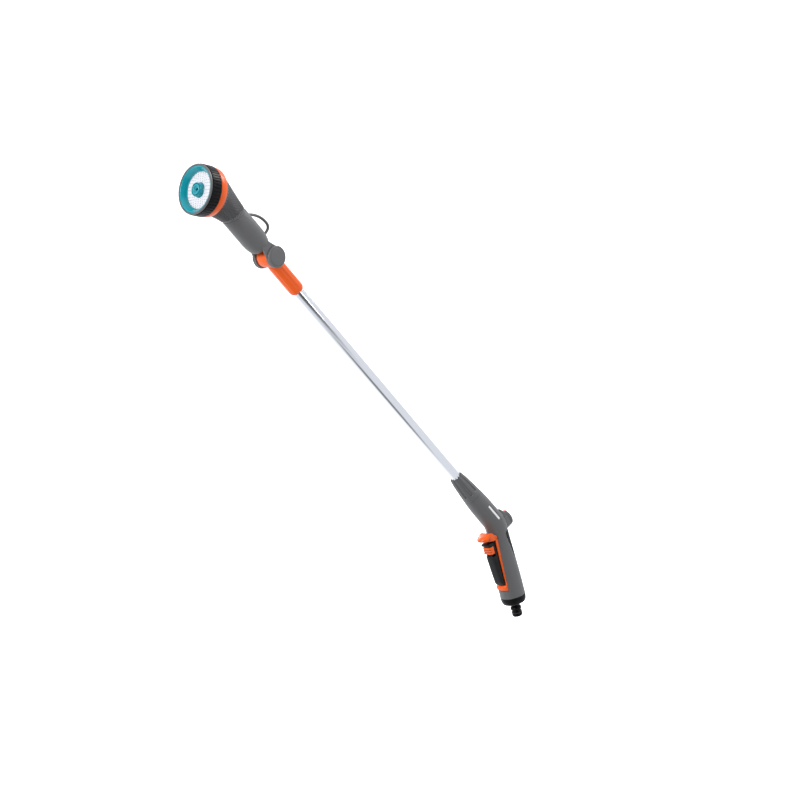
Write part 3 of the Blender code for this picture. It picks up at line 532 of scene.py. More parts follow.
CONE_ROWS = 27
cone = bmesh.new()
bmesh.ops.create_circle(cone, segments=CONE_COLUMNS, radius=1)
angle_step = cone.verts.layers.int.new("column")
for vert in cone.verts:
    vert[angle_step] = column(vert.co + Vector((1e-6, 1e-6, 0)), CONE_COLUMNS)
shares = [(0.0, 0.75), (0.0, 0.25), (0.012, 0.0)]
shares += [((i + 1) / (CONE_ROWS + 1), 0.0) for i in range(CONE_ROWS)]
shares += [(0.99, 0.0), (1.0, 0.3), (1.0, CONE_WALL), (0.5, CONE_WALL), (0.0, CONE_WALL)]
cone_rows, last_rim = drawn(cone, list(cone.edges), [cone_place(*pair) for pair in shares])
first_rim = [edge for edge in cone.edges
             if edge.verts[0] in set(cone_rows[0]) and edge.verts[1] in set(cone_rows[0])]
bmesh.ops.bridge_loops(cone, edges=first_rim + last_rim)
valleys = []
for number, row in enumerate(cone_rows[5:-8]):
    centre = sum((vert.co for vert in row), Vector()) / len(row)
    for vert in row:
        if (vert[angle_step] + number) % 2:
            valleys.append(vert)
        else:
            vert.co += (vert.co - centre).normalized() * KNURL_RISE
bmesh.ops.connect_verts(cone, verts=valleys)
bmesh.ops.recalc_face_normals(cone, faces=cone.faces)
# Painted shade and highlight: the cone's grey is painted a third darker, and relief paints the
# knurl's peaks lighter.
knurl_lit_and_shaded_grey = moulded("knurl_lit_and_shaded_grey", shade(DARK_GREY, 0.66)[:3], 0.45, grain=0.01, grain_size=0.5,
                     drift=0.08, relief=0.8)
settle(cone, "knurled_cone", TILT_AXIS, knurl_lit_and_shaded_grey, "head", "dark_grey", "head_shell", sharp=12)

# Forked neck ----------------------------------------------------------------------
# Smooth grey neck with two ears for the tilt joint, one thick moulding. Its upper end is
# cut on the slant where the cone is welded on.

neck = spun([(8.0, SEAM_UP + 8), (NECK_R, SEAM_UP + 8), (NECK_R, 60), (NECK_R, 42), (18.0, 36),
             (17.4, 31), (16.4, 26.5), (15.2, 23.0), (13.8, 20.8), (12.0, 19.6), (8.0, 19.5)], 128)
seam_up = Matrix.Rotation(SEAM_TILT, 3, "Y") @ Vector((0, 0, 1))
bmesh.ops.bisect_plane(neck, geom=neck.verts[:] + neck.edges[:] + neck.faces[:],
                       plane_co=(0, 0, SEAM_UP - 0.3), plane_no=seam_up, clear_outer=True)
bmesh.ops.bridge_loops(neck, edges=[edge for edge in neck.edges if edge.is_boundary])
bmesh.ops.recalc_face_normals(neck, faces=neck.faces)
soften(neck, 0.7, where=lambda edge: edge.verts[0].co.z > 60)


def slab(outline, *spans, slices=1):
    """A mould of a flat (x, z) outline, extruded across the wand over spans of y."""
    mould = bmesh.new()
    for y_low, y_high in spans:
        front = top = mould.faces.new([mould.verts.new((x, y_low, z)) for x, z in outline])
        for _ in range(slices):
            grown = bmesh.ops.extrude_face_region(mould, geom=[top])["geom"]
            verts = [item for item in grown if isinstance(item, bmesh.types.BMVert)]
            bmesh.ops.translate(mould, verts=verts, vec=(0, (y_high - y_low) / slices, 0))
            if top is not front:
                mould.faces.remove(top)
            top = [item for item in grown if isinstance(item, bmesh.types.BMFace)][0]
    bmesh.ops.recalc_face_normals(mould, faces=mould.faces)
    return mould


def carved(mould, *tools):
    """Takes the tools' shapes out of a mould and returns what is left."""
    holders = []
    for shape in (mould, *tools):
        mesh = bpy.data.meshes.new("carving")
        shape.to_mesh(mesh)
        shape.free()
        holders.append(placed("carving", mesh))
    for tool in holders[1:]:
        step = holders[0].modifiers.new("carve", "BOOLEAN")
        step.operation = "DIFFERENCE"
        step.object = tool
    bpy.context.view_layer.update()
    seen = holders[0].evaluated_get(bpy.context.evaluated_depsgraph_get())
    left = bmesh.new()
    left.from_mesh(seen.to_mesh())
    for holder in holders:
        mesh = holder.data
        bpy.data.objects.remove(holder)
        bpy.data.meshes.remove(mesh)
    return left


def joined(mould, *others):
    """Takes other moulds into one, as solids that run into each other."""
    for other in others:
        carrier = bpy.data.meshes.new("carrier")
        other.to_mesh(carrier)
        other.free()
        mould.from_mesh(carrier)
        bpy.data.meshes.remove(carrier)
    mould.normal_update()
    return mould


EAR_R = 15.7
ear_outline = [(EAR_R * math.cos(math.radians(a)), EAR_R * math.sin(math.radians(a)))
               for a in range(140, 401, 10)]
ear_outline += [(7.5, 24), (7.0, 28), (-7.0, 28), (-7.5, 24)]
EAR_IN = 11.45
EAR_OUT = 15.3
SPOOL_HOLE_R = 6.4
spool_hole = moved(spun([(0, 20), (SPOOL_HOLE_R, 20), (SPOOL_HOLE_R, -20), (0, -20)], 48), ACROSS)
ears = carved(slab(ear_outline, (-EAR_IN, -EAR_OUT), (EAR_IN, EAR_OUT)), spool_hole)
settle(joined(neck, soften(ears, 0.6)), "forked_neck", TILT_AXIS, satin_grey, "head",
       "dark_grey", "neck_fork")

# Hook loop ------------------------------------------------------------------------
# Round loop on the back of the neck, by which the wand hangs on a hook; one moulding with
# the neck, so its two feet widen where they join it.

WIRE_R = 2.2


def bezier(spans, count):
    """Points along joined cubic curves, each given by its four (x, z) control points."""
    points = []
    for span in spans:
        a, b, c, d = (Vector((x, 0, z)) for x, z in span)
        for i in range(count + 1):
            t = i / count
            points.append((1 - t) ** 3 * a + 3 * (1 - t) ** 2 * t * b
                          + 3 * (1 - t) * t * t * c + t ** 3 * d)
        if span is not spans[-1]:
            points.pop()
    return points


def wire_places(points, radius, flare=0.0):
    """Frames square to a path in the wand's middle plane, wider at its two ends."""
    places = []
    for i, point in enumerate(points):
        ahead = points[min(i + 1, len(points) - 1)] - points[max(i - 1, 0)]
        near_end = min((point - points[0]).length, (point - points[-1]).length)
        wide = radius * (1 + flare * max(0.0, 1 - near_end / 4) ** 2)
        places.append(turned_to(point, math.atan2(ahead.x, ahead.z), wide, wide))
    return places


loop_path = bezier([((-17.6, 68), (-25, 62.5), (-33.4, 50), (-33.2, 36)),
                    ((-33.2, 36), (-33, 28.6), (-29.5, 26), (-17.0, 27.6))], 20)
loop = bmesh.new()
bmesh.ops.create_circle(loop, segments=24, radius=1)
_, loop_end = drawn(loop, list(loop.edges), wire_places(loop_path, WIRE_R - 0.1, 0.35))
loop_start = [edge for edge in loop.edges if edge.is_boundary and edge not in loop_end]
bmesh.ops.contextual_create(loop, geom=loop_start)
bmesh.ops.contextual_create(loop, geom=loop_end)
bmesh.ops.recalc_face_normals(loop, faces=loop.faces)
settle(loop, "hook_loop", TILT_AXIS, satin_grey, "head", "dark_grey", "hang_loop")

# Joint caps -----------------------------------------------------------------------
# Round covers pressed into the ears on both sides of the tilt joint, with a fine ring
# groove near the edge.

for cap_name, node, side in (("joint_cap_near", "hinge_cap_near", 1),
                             ("joint_cap_far", "hinge_cap_far", -1)):
    cap = spun([(0, 19.15), (6.0, 19.2), (12.4, 19.05), (12.7, 18.75), (13.2, 18.75),
                (13.5, 18.95), (14.6, 18.6), (15.4, 17.9), (15.8, 17.0), (15.8, 15.6),
                (13.2, 15.6), (13.2, 17.6), (0, 17.6)], 96)
    moved(cap, Matrix.Rotation(-side * math.pi / 2, 4, "X"))
    settle(soften(cap, 0.12, sharp=40, segments=2), cap_name, TILT_AXIS, satin_grey, "head",
           "dark_grey", node)

# Orange socket --------------------------------------------------------------------
# Knuckle of the tilt joint and the collar that holds the tube, one glossy moulding. The
# collar has twelve shallow lengthwise hollows.

COLLAR_R = 11.3
COLLAR_FLUTES = 12
FLUTE_DEPTH = 0.5
COLLAR_LOW = -70.5
FLUTE_TOP = -17.0
FLUTE_LOW = -64.0
TUBE_HOLE_R = 8.5


def eased(share):
    """A smooth step from 0 to 1."""
    share = min(1.0, max(0.0, share))
    return share * share * (3 - 2 * share)


collar_profile = [(0, -5.0), (10.0, -5.0), (10.6, -9.0), (11.0, -13.0)]
collar_profile += [(COLLAR_R, FLUTE_TOP + (FLUTE_LOW - FLUTE_TOP) * i / 24) for i in range(25)]
collar_profile += [(11.15, -66.0), (10.7, -68.2), (10.0, -69.7), (9.2, COLLAR_LOW),
                   (TUBE_HOLE_R, COLLAR_LOW), (TUBE_HOLE_R, -22), (0, -22)]
socket = spun(collar_profile, COLLAR_FLUTES * 12)
for vert in socket.verts:
    if vert.co.to_2d().length > COLLAR_R - 0.05:
        turn = math.atan2(vert.co.y, vert.co.x)
        along = min(FLUTE_TOP - vert.co.z, vert.co.z - FLUTE_LOW) / 5
        hollow = (0.5 - 0.5 * math.cos(COLLAR_FLUTES * turn)) * FLUTE_DEPTH * eased(along)
        vert.co.xy *= 1 - hollow / COLLAR_R
knuckle = spun([(0, 10.7), (13.2, 10.7), (14.2, 10.1), (14.6, 9.0), (14.6, -9.0), (14.2, -10.1),
                (13.2, -10.7), (0, -10.7)], 96)
moved(knuckle, ACROSS)
settle(joined(socket, knuckle), "orange_socket", TILT_AXIS, gloss_orange, "wand",
       "orange_plastic", "tube_socket")

# Wand tube ------------------------------------------------------------------------
# Drawn aluminium tube, polished lengthwise, with its ends turned square. It is pushed
# into the collar above and into the water pipe in the handle below.

TUBE_R = 8.2
TUBE_BORE_R = 7.2
TUBE_LOW = 62.0
tube_top = HINGE_UP - 22
tube = spun([(TUBE_BORE_R, tube_top), (TUBE_R - 0.2, tube_top), (TUBE_R, tube_top - 0.3),
             (TUBE_R, TUBE_LOW + 0.3), (TUBE_R - 0.2, TUBE_LOW), (TUBE_BORE_R, TUBE_LOW)], 128)
metal = Finish("drawn_aluminium", Metallic=1.0)
along_tube = metal.node("ShaderNodeMapping", {"vector_type": "TEXTURE"},
                        {"Vector": metal.place, "Rotation": (0, TUBE_LEAN, 0)})
drawn_lines = metal.node("ShaderNodeMapping", {}, {"Vector": along_tube,
                                                   "Scale": (1, 1, 0.004)})
streak = metal.noise(0.0007, 3, at=drawn_lines)
haze = metal.noise(0.05, 3, at=along_tube)
metal.feed("Base Color", metal.mix(streak * 0.6 + haze * 0.4, (0.74, 0.76, 0.81, 1),
                                   (0.86, 0.87, 0.90, 1)))
metal.feed("Roughness", 0.11 + streak * 0.06 + haze * 0.04)
metal.bump(streak, 0.004 * MM)
settle(tube, "wand_tube", BEND_AXIS, metal.material, "wand", "tube_aluminium", "tube")

# Fluted nut -----------------------------------------------------------------------
# Tapered grey nut that clamps the tube: nine long round-ended scallops are moulded into
# it for the fingers and run out over its upper end.

NUT_LOW = 68.0
NUT_TOP = 113.0
NUT_SCALLOPS = 9
SCALLOP_HALF = 2.6
SCALLOP_DEPTH = 1.6
SCALLOP_START = 79.0
NUT_STATIONS = ((NUT_LOW, 15.1), (69, 15.2), (77, 14.4), (90, 13.2), (101, 12.1), (108, 11.1),
                (NUT_TOP, 10.2))


def between(stations, along):
    """The value at a height, from straight runs between (height, value) stations."""
    for (low, first), (high, last) in zip(stations, stations[1:]):
        if along <= high:
            return first + (last - first) * (along - low) / (high - low)
    return stations[-1][1]


NUT_ROWS = 60
nut_heights = [NUT_TOP - (NUT_TOP - NUT_LOW) * i / NUT_ROWS for i in range(NUT_ROWS + 1)]
nut_profile = [(TUBE_HOLE_R, NUT_TOP)] + [(between(NUT_STATIONS, h), h) for h in nut_heights]
nut_profile += [(11.0, NUT_LOW), (11.0, 88), (9.9, 102), (TUBE_HOLE_R, 102)]
nut = spun(nut_profile, NUT_SCALLOPS * 22)
for vert in nut.verts:
    radius = vert.co.to_2d().length
    if radius < between(NUT_STATIONS, vert.co.z) - 0.02:
        continue
    turn = math.atan2(vert.co.y, vert.co.x) % (math.tau / NUT_SCALLOPS)
    aside = (turn - math.pi / NUT_SCALLOPS) * radius
    short = max(0.0, SCALLOP_START - vert.co.z)
    reach = math.hypot(aside, short) / SCALLOP_HALF
    if reach < 1:
        vert.co.xy *= 1 - SCALLOP_DEPTH * math.sqrt(1 - reach * reach) / radius
nut.normal_update()
settle(nut, "fluted_nut", BEND_AXIS, satin_grey, "wand", "dark_grey", "tube_nut", sharp=28)

# Handle halves --------------------------------------------------------------------
# Two moulded half shells, screwed together from the right side. They meet in a fine
# groove, and carry the pad's seat, the trigger window, the dial's boss and a pale stripe.

SHELL_WALL = 2.6
HALF_STEPS = 40
STATION_STEPS = 5
# Stations: distance along the tube axis (barrel) or height (grip), lean in degrees,
# half depth and half width
GRIP_STATIONS = ((-47.2, 0, 20.1, 19.6), (-34, 0, 20.0, 19.4), (-16, 0, 19.8, 19.0),
                 (5, 0, 19.1, 18.4), (25, 0, 18.4, 17.8), (42, 1, 17.6, 17.1),
                 (56, 5, 17.2, 16.8), (66, 11, 17.3, 16.8))
BARREL_STATIONS = ((5, 19, 17.4, 16.8), (16, 26, 17.1, 16.8), (30, 30, 16.9, 16.8),
                   (46, 30, 16.6, 16.6), (58, 30, 16.0, 16.0), (67.7, 30, 15.2, 15.2))
bend_point = BEND_AXIS.translation / MM
stations = [(0, height, *rest) for height, *rest in GRIP_STATIONS]
stations += [(along * tube_up.x, bend_point.z + along * tube_up.z, *rest)
             for along, *rest in BARREL_STATIONS]


def smooth_between(before, first, last, after, share):
    """A point of the smooth curve through four numbers, between the middle two."""
    a = 2 * first
    b = last - before
    c = 2 * before - 5 * first + 4 * last - after
    d = 3 * (first - last) + after - before
    return 0.5 * (a + b * share + c * share ** 2 + d * share ** 3)


handle_places = []
for i in range(len(stations) - 1):
    around = [stations[max(0, min(len(stations) - 1, i + k))] for k in (-1, 0, 1, 2)]
    for step in range(STATION_STEPS + (i == len(stations) - 2)):
        x, z, tilt, depth, width = (smooth_between(*values, step / STATION_STEPS)
                                    for values in zip(*around))
        handle_places.append(turned_to(Vector((x, 0, z)), math.radians(tilt), depth, width))

PAD_LOW = 14.0
PAD_HIGH = 57.0
PAD_DEPTH = 1.5
SEAT_GAP = 0.3
PAD_CORNER = 5.0
PAD_TURN = 60
PAD_WIDENS = 26
PAD_R = 17.5
WINDOW_HALF = 11.1
WINDOW_LOW = -33.4
WINDOW_HIGH = 58.6


def pad_reach(height, grow=0.0):
    """Half of the angle that the pad covers at a height; it widens upwards."""
    inside = min(height - PAD_LOW, PAD_HIGH - height) + grow
    if inside < 0:
        return -1.0
    short = max(0.0, PAD_CORNER - inside)
    cut = PAD_CORNER - math.sqrt(max(0.0, PAD_CORNER ** 2 - short ** 2))
    share = (height - PAD_LOW) / (PAD_HIGH - PAD_LOW)
    return math.radians(PAD_TURN + PAD_WIDENS * share) - (cut - grow) / PAD_R


# Case screws: the axis that they are placed on, and their x and z there
SCREWS = ((BEND_AXIS, -10.0, 44.0), (BEND_AXIS, 10.6, 26.0), (GRIP_AXIS, -12.4, 3.0),
          (GRIP_AXIS, -12.8, -38.0), (GRIP_AXIS, 12.6, -40.0))
SCREW_WELL_R = 3.2
SPINDLE_BORE_R = 2.6
SEAM_HALF = 0.12
BOSS_SQUEEZE = Matrix.Diagonal((1, 0.78, 1, 1))
DIAL_SQUEEZE = Matrix.Diagonal((1, 0.74, 1, 1))


def to_grip(axis):
    """From a working axis to the grip's millimetres."""
    return GRIP_AXIS.inverted() @ axis


def cross_spun(profile, axis, x, z, steps=32):
    """A turned mould whose axis crosses the wand at (x, z) of a working axis."""
    place = to_grip(axis) @ Matrix.Translation((x, 0, z)) @ ACROSS
    return moved(spun(profile, steps), place)


def faced(sheet, way):
    """Turns an open sheet so that it looks the given way, away from its wall."""
    bmesh.ops.recalc_face_normals(sheet, faces=sheet.faces)
    if sum((face.normal for face in sheet.faces), Vector()).dot(way) < 0:
        bmesh.ops.reverse_faces(sheet, faces=sheet.faces[:])


def half_shell(side):
    """One half of the case; side is 1 for the left half and -1 for the right one."""
    shell = bmesh.new()
    arc = []
    for i in range(HALF_STEPS + 1):
        turn = math.pi * i / HALF_STEPS
        arc.append(shell.verts.new((math.cos(turn), side * math.sin(turn), 0)))
    rim = [shell.edges.new(pair) for pair in zip(arc, arc[1:])]
    drawn(shell, rim, handle_places)
    for plane_point, plane_normal in (((0, side * WINDOW_HALF, 0), (0, 1, 0)),
                                      ((0, 0, WINDOW_LOW), (0, 0, 1)),
                                      ((0, 0, WINDOW_HIGH), (0, 0, 1))):
        everything = shell.verts[:] + shell.edges[:] + shell.faces[:]
        bmesh.ops.bisect_plane(shell, geom=everything, plane_co=plane_point,
                               plane_no=plane_normal)
    window = []
    for face in shell.faces:
        middle_point = face.calc_center_median()
        if (middle_point.x > 4 and abs(middle_point.y) < WINDOW_HALF
                and WINDOW_LOW < middle_point.z < WINDOW_HIGH):
            window.append(face)
    bmesh.ops.delete(shell, geom=window, context="FACES")
    for vert in shell.verts:
        turn = math.atan2(abs(vert.co.y), vert.co.x)
        outward = Vector((vert.co.x * 0.9, vert.co.y, 0)).normalized()
        if vert.co.z < PAD_HIGH + 3:
            inside = pad_reach(vert.co.z, SEAT_GAP) - (math.pi - turn)
            vert.co -= outward * (PAD_DEPTH + SEAT_GAP) * eased(inside * PAD_R / 0.9 + 0.5)
    faced(shell, Vector((0, side, 0)))
    bmesh.ops.solidify(shell, geom=shell.faces[:], thickness=SHELL_WALL)
    bmesh.ops.recalc_face_normals(shell, faces=shell.faces)
    if side < 0:
        wells = [cross_spun([(0, -7), (SCREW_WELL_R, -7), (SCREW_WELL_R, -30), (0, -30)],
                            axis, x, z) for axis, x, z in SCREWS]
        shell = carved(shell, *wells)
        rings = [cross_spun([(SCREW_WELL_R, -7.2), (4.2, -7.2), (4.2, -8.0),
                             (SCREW_WELL_R, -8.0)], axis, x, z) for axis, x, z in SCREWS]
        joined(shell, *rings)
    boss = moved(spun([(0, 24.0), (12.3, 24.0), (12.9, 23.4), (12.9, 10.0), (0, 10.0)]),
                 to_grip(DIAL_AXIS) @ BOSS_SQUEEZE)
    hump = slab([(-7.5, 92.5), (-10.5, 91.4), (-15.4, 87.0), (-19.4, 83.2), (-19.8, 81.6),
                 (-17.0, 76), (-9.0, 80.0)], (-8.0, 8.0))
    soften(hump, 2.4, sharp=60, segments=5)
    for solid in (boss, hump):
        bmesh.ops.bisect_plane(solid, geom=solid.verts[:] + solid.edges[:] + solid.faces[:],
                               plane_co=(0, side * SEAM_HALF, 0), plane_no=(0, side, 0),
                               clear_inner=True)
        bmesh.ops.holes_fill(solid, edges=[edge for edge in solid.edges if edge.is_boundary])
        bmesh.ops.recalc_face_normals(solid, faces=solid.faces)
    bored = []
    for solid in (shell, boss):
        bore = spun([(0, 25.0), (SPINDLE_BORE_R, 25.0), (SPINDLE_BORE_R, 5.0), (0, 5.0)], 32)
        bored.append(carved(solid, moved(bore, to_grip(DIAL_AXIS))))
    return joined(*bored, hump)


STRIPE_ACROSS = (-2.6, 0.7)
STRIPE_ALONG = (11.0, 41.5)
STRIPE_EDGE = 0.12
handle_finish = Finish("handle_grey")
handle_cloud = handle_finish.noise(0.035, 3)
handle_fleck = handle_finish.noise(0.0022, 3)
barrel_place = handle_finish.node("ShaderNodeMapping", {"vector_type": "TEXTURE"},
                                  {"Vector": handle_finish.place,
                                   "Location": tuple(BEND_AXIS.translation),
                                   "Rotation": (0, TUBE_LEAN, 0), "Scale": (MM, MM, MM)})
parts = [handle_finish.node("ShaderNodeSeparateXYZ", {}, {0: barrel_place}, output=axis)
         for axis in range(3)]
stripe = parts[1].over(0, STRIPE_EDGE)
for part, (low, high) in ((parts[0], STRIPE_ACROSS), (parts[2], STRIPE_ALONG)):
    stripe = stripe * part.over(low, STRIPE_EDGE) * (1 - part.over(high, STRIPE_EDGE))
handle_wear_and_shade, handle_rub = handle_finish.wear_and_shade()
grey = handle_finish.mix(handle_cloud * 0.7 + handle_fleck * 0.3, shade(DARK_GREY, 0.94),
                         shade(DARK_GREY, 1.06))
grey = handle_finish.mix(handle_rub * 0.25, grey, shade(DARK_GREY, 1.4))
# Painted shade: the case is painted darker in its corners and creases.
grey = handle_finish.mix(0.7 - 0.7 * handle_wear_and_shade.over(-0.5, 0.45), grey, shade(DARK_GREY, 0.25))
# Painted shade: a dark line painted beside the stripe, for the shade in the gap between the barrel
# and the hump; the bump also sinks it.
groove_shade = parts[0].over(-3.9, 0.2) * (1 - parts[0].over(-3.0, 0.2)) * parts[1].over(0, 0.1)
groove_shade = groove_shade * parts[2].over(4.0, 1.0) * (1 - parts[2].over(43.0, 0.5))
grey = handle_finish.mix(groove_shade * 0.8, grey, shade(DARK_GREY, 0.15))
handle_finish.feed("Base Color", handle_finish.mix(stripe, grey, (0.90, 0.90, 0.91, 1)))
handle_finish.feed("Roughness", 0.44 + (handle_fleck - 0.5) * 0.14 - handle_rub * 0.1
                   - stripe * 0.08)
handle_finish.bump(handle_finish.noise(0.5 * MM, 2) * (1 - stripe) + stripe * 1.5 - groove_shade * 30,
                   0.012 * MM)
for name, node, side in (("grip_half_left", "handle_shell_left", 1),
                         ("grip_half_right", "handle_shell_right", -1)):
    settle(half_shell(side), name, GRIP_AXIS, handle_finish.material, "wand", "dark_grey", node)

# Grip pad -------------------------------------------------------------------------
# Soft black pad, overmoulded on the back of the grip under the heel of the hand.

pad = bmesh.new()
PAD_STEPS = 40
pad_arc = []
for i in range(PAD_STEPS + 1):
    turn = math.pi * (0.5 + i / PAD_STEPS)
    pad_arc.append(pad.verts.new((math.cos(turn), math.sin(turn), 0)))
pad_rim = [pad.edges.new(pair) for pair in zip(pad_arc, pad_arc[1:])]
PAD_ROWS = 48
pad_places = []
for i in range(PAD_ROWS + 1):
    height = PAD_LOW + (PAD_HIGH - PAD_LOW) * i / PAD_ROWS
    pad_places.append(turned_to(Vector((0, 0, height)), 0, 1, 1))
drawn(pad, pad_rim, pad_places)
for vert in pad.verts:
    share = (math.atan2(vert.co.y, vert.co.x) % math.tau - math.pi) / (math.pi / 2)
    turn = math.pi + share * pad_reach(vert.co.z)
    depth = between([(z, d) for z, _, d, _ in GRIP_STATIONS], vert.co.z) - 0.05
    width = between([(z, w) for z, _, _, w in GRIP_STATIONS], vert.co.z) - 0.05
    vert.co.xy = (depth * math.cos(turn), width * math.sin(turn))
faced(pad, Vector((-1, 0, 0)))
bmesh.ops.solidify(pad, geom=pad.faces[:], thickness=PAD_DEPTH)
bmesh.ops.recalc_face_normals(pad, faces=pad.faces)
soften(pad, 0.35, sharp=50)
soft_black = moulded("soft_black", (0.006, 0.006, 0.0065), 0.62, grain=0.05, grain_size=0.9,
                     polish=0.2, Specular_IOR_Level=0.35)
settle(pad, "grip_pad", GRIP_AXIS, soft_black, "wand", "soft_grip", "rear_pad")

# Trigger frame --------------------------------------------------------------------
# Orange frame let into the window of the handle: two rails beside the trigger, a foot
# under it and a rounded visor above it that keeps the fingers from sliding up.

FRAME_HALF = 10.8
SLOT_HALF = 8.6
RAIL_FRONT = 17.4
RAIL_BACK = 8.6


def rounded_tip(mould, start, tip, half):
    """Rounds a slab in plan: its front is drawn back towards both sides."""
    for vert in mould.verts:
        if vert.co.x > start:
            share = (vert.co.x - start) / (tip - start)
            back_off = 1 - math.sqrt(max(0.0, 1 - (abs(vert.co.y) / half) ** 2))
            vert.co.x -= share * back_off * (tip - start) * 0.75


rails = slab([(RAIL_BACK, -32.0), (RAIL_FRONT, -32.0), (RAIL_FRONT, 57.0), (RAIL_BACK, 46.0)],
             (-SLOT_HALF, -FRAME_HALF), (SLOT_HALF, FRAME_HALF))
soften(rails, 0.45)
foot_edge = bezier([((18.6, -33), (21.0, -32.6), (22.4, -30), (22, -27)),
                    ((22, -27), (21.4, -24.2), (19, -23.3), (16.2, -23.3))], 8)
foot = slab([(RAIL_BACK, -33)] + [(p.x, p.z) for p in foot_edge] + [(RAIL_BACK, -23.3)],
            (-FRAME_HALF, FRAME_HALF), slices=20)
rounded_tip(foot, 12.0, 22.0, 14.5)
visor_edge = bezier([((13.4, 51.4), (22, 51.4), (30, 52.6), (37, 54.4)),
                     ((37, 54.4), (40.5, 55.3), (42.6, 56.6), (41.4, 58.8)),
                     ((41.4, 58.8), (39.6, 61.6), (32, 64.4), (24.5, 64.6)),
                     ((24.5, 64.6), (19.5, 64.7), (19.6, 58.3), (13.4, 58.2))], 8)
visor = slab([(p.x, p.z) for p in visor_edge], (-FRAME_HALF, FRAME_HALF), slices=24)
rounded_tip(visor, 20.0, 42.0, 13.0)
for guard in (foot, visor):
    bmesh.ops.recalc_face_normals(guard, faces=guard.faces)
    soften(guard, 0.6, sharp=60, segments=4)
settle(joined(rails, foot, visor), "trigger_frame", GRIP_AXIS, gloss_orange, "wand",
       "orange_plastic", "trigger_bezel")

# Trigger lever --------------------------------------------------------------------
# Black lever, hollow behind, that swings on a pin above the foot and pushes the valve
# stem. Its upper end stands out as a nose under the visor.

CHEEK = 5.0
LEVER_HALF = 8.2
PIN_HOLE_R = 1.75
PIN_X = 14.5
PIN_Z = -19


def crowned(mould, start, fall):
    """Draws the front of a mould back towards both sides, by fall at the lever's sides."""
    for vert in mould.verts:
        if vert.co.x > start:
            vert.co.x -= fall * (vert.co.y / LEVER_HALF) ** 4
    return mould


lever = crowned(slab(
    [(12.5, -22.4), (20.0, -22.4), (22.4, -21.6), (23.4, -19.5), (24.2, -15), (26.0, 0),
     (27.9, 20), (28.7, 30), (28.7, 43.5), (30.4, 44.3), (32.2, 45.2), (33.1, 46.6),
     (32.8, 48.2), (31.2, 49.2), (20.4, 49.2), (20.0, 45), (10.8, 38), (10.0, 0)],
    (-LEVER_HALF, LEVER_HALF), slices=12), 19, 1.0)
pocket = slab([(2, -15.5), (20.0, -15.5), (22.4, 0), (24.8, 20), (25.6, 30), (25.6, 46), (2, 46)],
              (-6.4, 6.4))
notches = [slab([(22.6, 27.4), (34, 27.4), (34, 43.6), (22.6, 43.6)], (side * CHEEK, side * 9.0))
           for side in (-1, 1)]
slot = slab([(24, 28.0), (34, 28.0), (34, 42.4), (24, 42.4)], (-3.3, 3.3))
pin_hole = cross_spun([(0, 10), (PIN_HOLE_R, 10), (PIN_HOLE_R, -10), (0, -10)], GRIP_AXIS,
                      PIN_X, PIN_Z)
lever = carved(lever, pocket, slot, pin_hole, *notches)
soften(lever, 0.45, sharp=50, segments=2)
lever_black = moulded("lever_black", (0.008, 0.008, 0.0085), 0.38, grain=0.02, grain_size=0.6,
                      Specular_IOR_Level=0.18)
settle(lever, "trigger_lever", GRIP_AXIS, lever_black, "trigger", "black_plastic", "trigger")

# Lock button ----------------------------------------------------------------------
# Orange slider astride the trigger, with two finger grooves, which is slid down to hold
# the trigger pressed; its stem runs in a slot of the trigger.

lock = crowned(slab(
    [(23.0, 31.8), (30.6, 31.8), (31.5, 32.3), (31.9, 33.4), (31.0, 35.0), (31.0, 35.8),
     (31.9, 37.4), (31.0, 39.0), (31.0, 39.8), (31.9, 41.4), (31.6, 42.6), (30.6, 43.2),
     (23.0, 43.2)], (-LEVER_HALF, LEVER_HALF), slices=16), 29, 1.6)
inside = slab([(20, 30), (29.1, 30), (29.1, 45), (20, 45)], (-CHEEK - 0.3, CHEEK + 0.3))
lock = soften(carved(lock, inside), 0.3, sharp=50)
stem = slab([(26.3, 33.0), (30, 33.0), (30, 42.0), (26.3, 42.0)], (-2.9, 2.9))
settle(joined(lock, stem), "lock_button", GRIP_AXIS, gloss_orange, "lock", "orange_plastic",
       "lock_slider")

# Dial -----------------------------------------------------------------------------
# Grey thumb dial on the back of the bend, which sets the flow: ribbed round its side,
# with an orange pointer let into its top edge.

DIAL_R = 12.9
DIAL_RIBS = 36
dial = spun([(0, 31.4), (9.4, 31.5), (10.8, 31.3), (12.0, 30.7), (12.7, 29.8), (DIAL_R, 28.8),
             (DIAL_R, 24.8), (12.6, 24.3), (10.4, 24.3), (10.4, 28.2), (0, 28.2)],
            DIAL_RIBS * 4)
notches = [face for face in dial.faces
           if face.normal.to_2d().length > 0.95
           and face.calc_center_median().to_2d().length > DIAL_R - 0.1
           and column(face.calc_center_median(), DIAL_RIBS * 4) % 4 == 1]
bmesh.ops.inset_region(dial, faces=notches, thickness=0.15, depth=-0.35, use_boundary=True,
                       use_even_offset=True)
settle(soften(dial, 0.1, sharp=45, segments=2), "dial_knob", DIAL_AXIS @ DIAL_SQUEEZE,
       satin_grey, "knob", "dark_grey", "flow_knob")
pointer = slab([(9.0, 31.75), (8.4, 31.3), (8.4, 28.6), (10.8, 28.6), (10.8, 24.9),
                (13.0, 24.9), (13.05, 28.9), (12.9, 30.2), (12.2, 31.1), (11.0, 31.75)],
               (-2.2, 2.2), slices=2)
settle(soften(pointer, 0.2, segments=2), "dial_pointer", DIAL_AXIS, gloss_orange, "knob",
       "orange_plastic", "knob_pointer")

# Base cap -------------------------------------------------------------------------
# Black cap screwed over the lower end of the two halves, with a rounded shoulder.

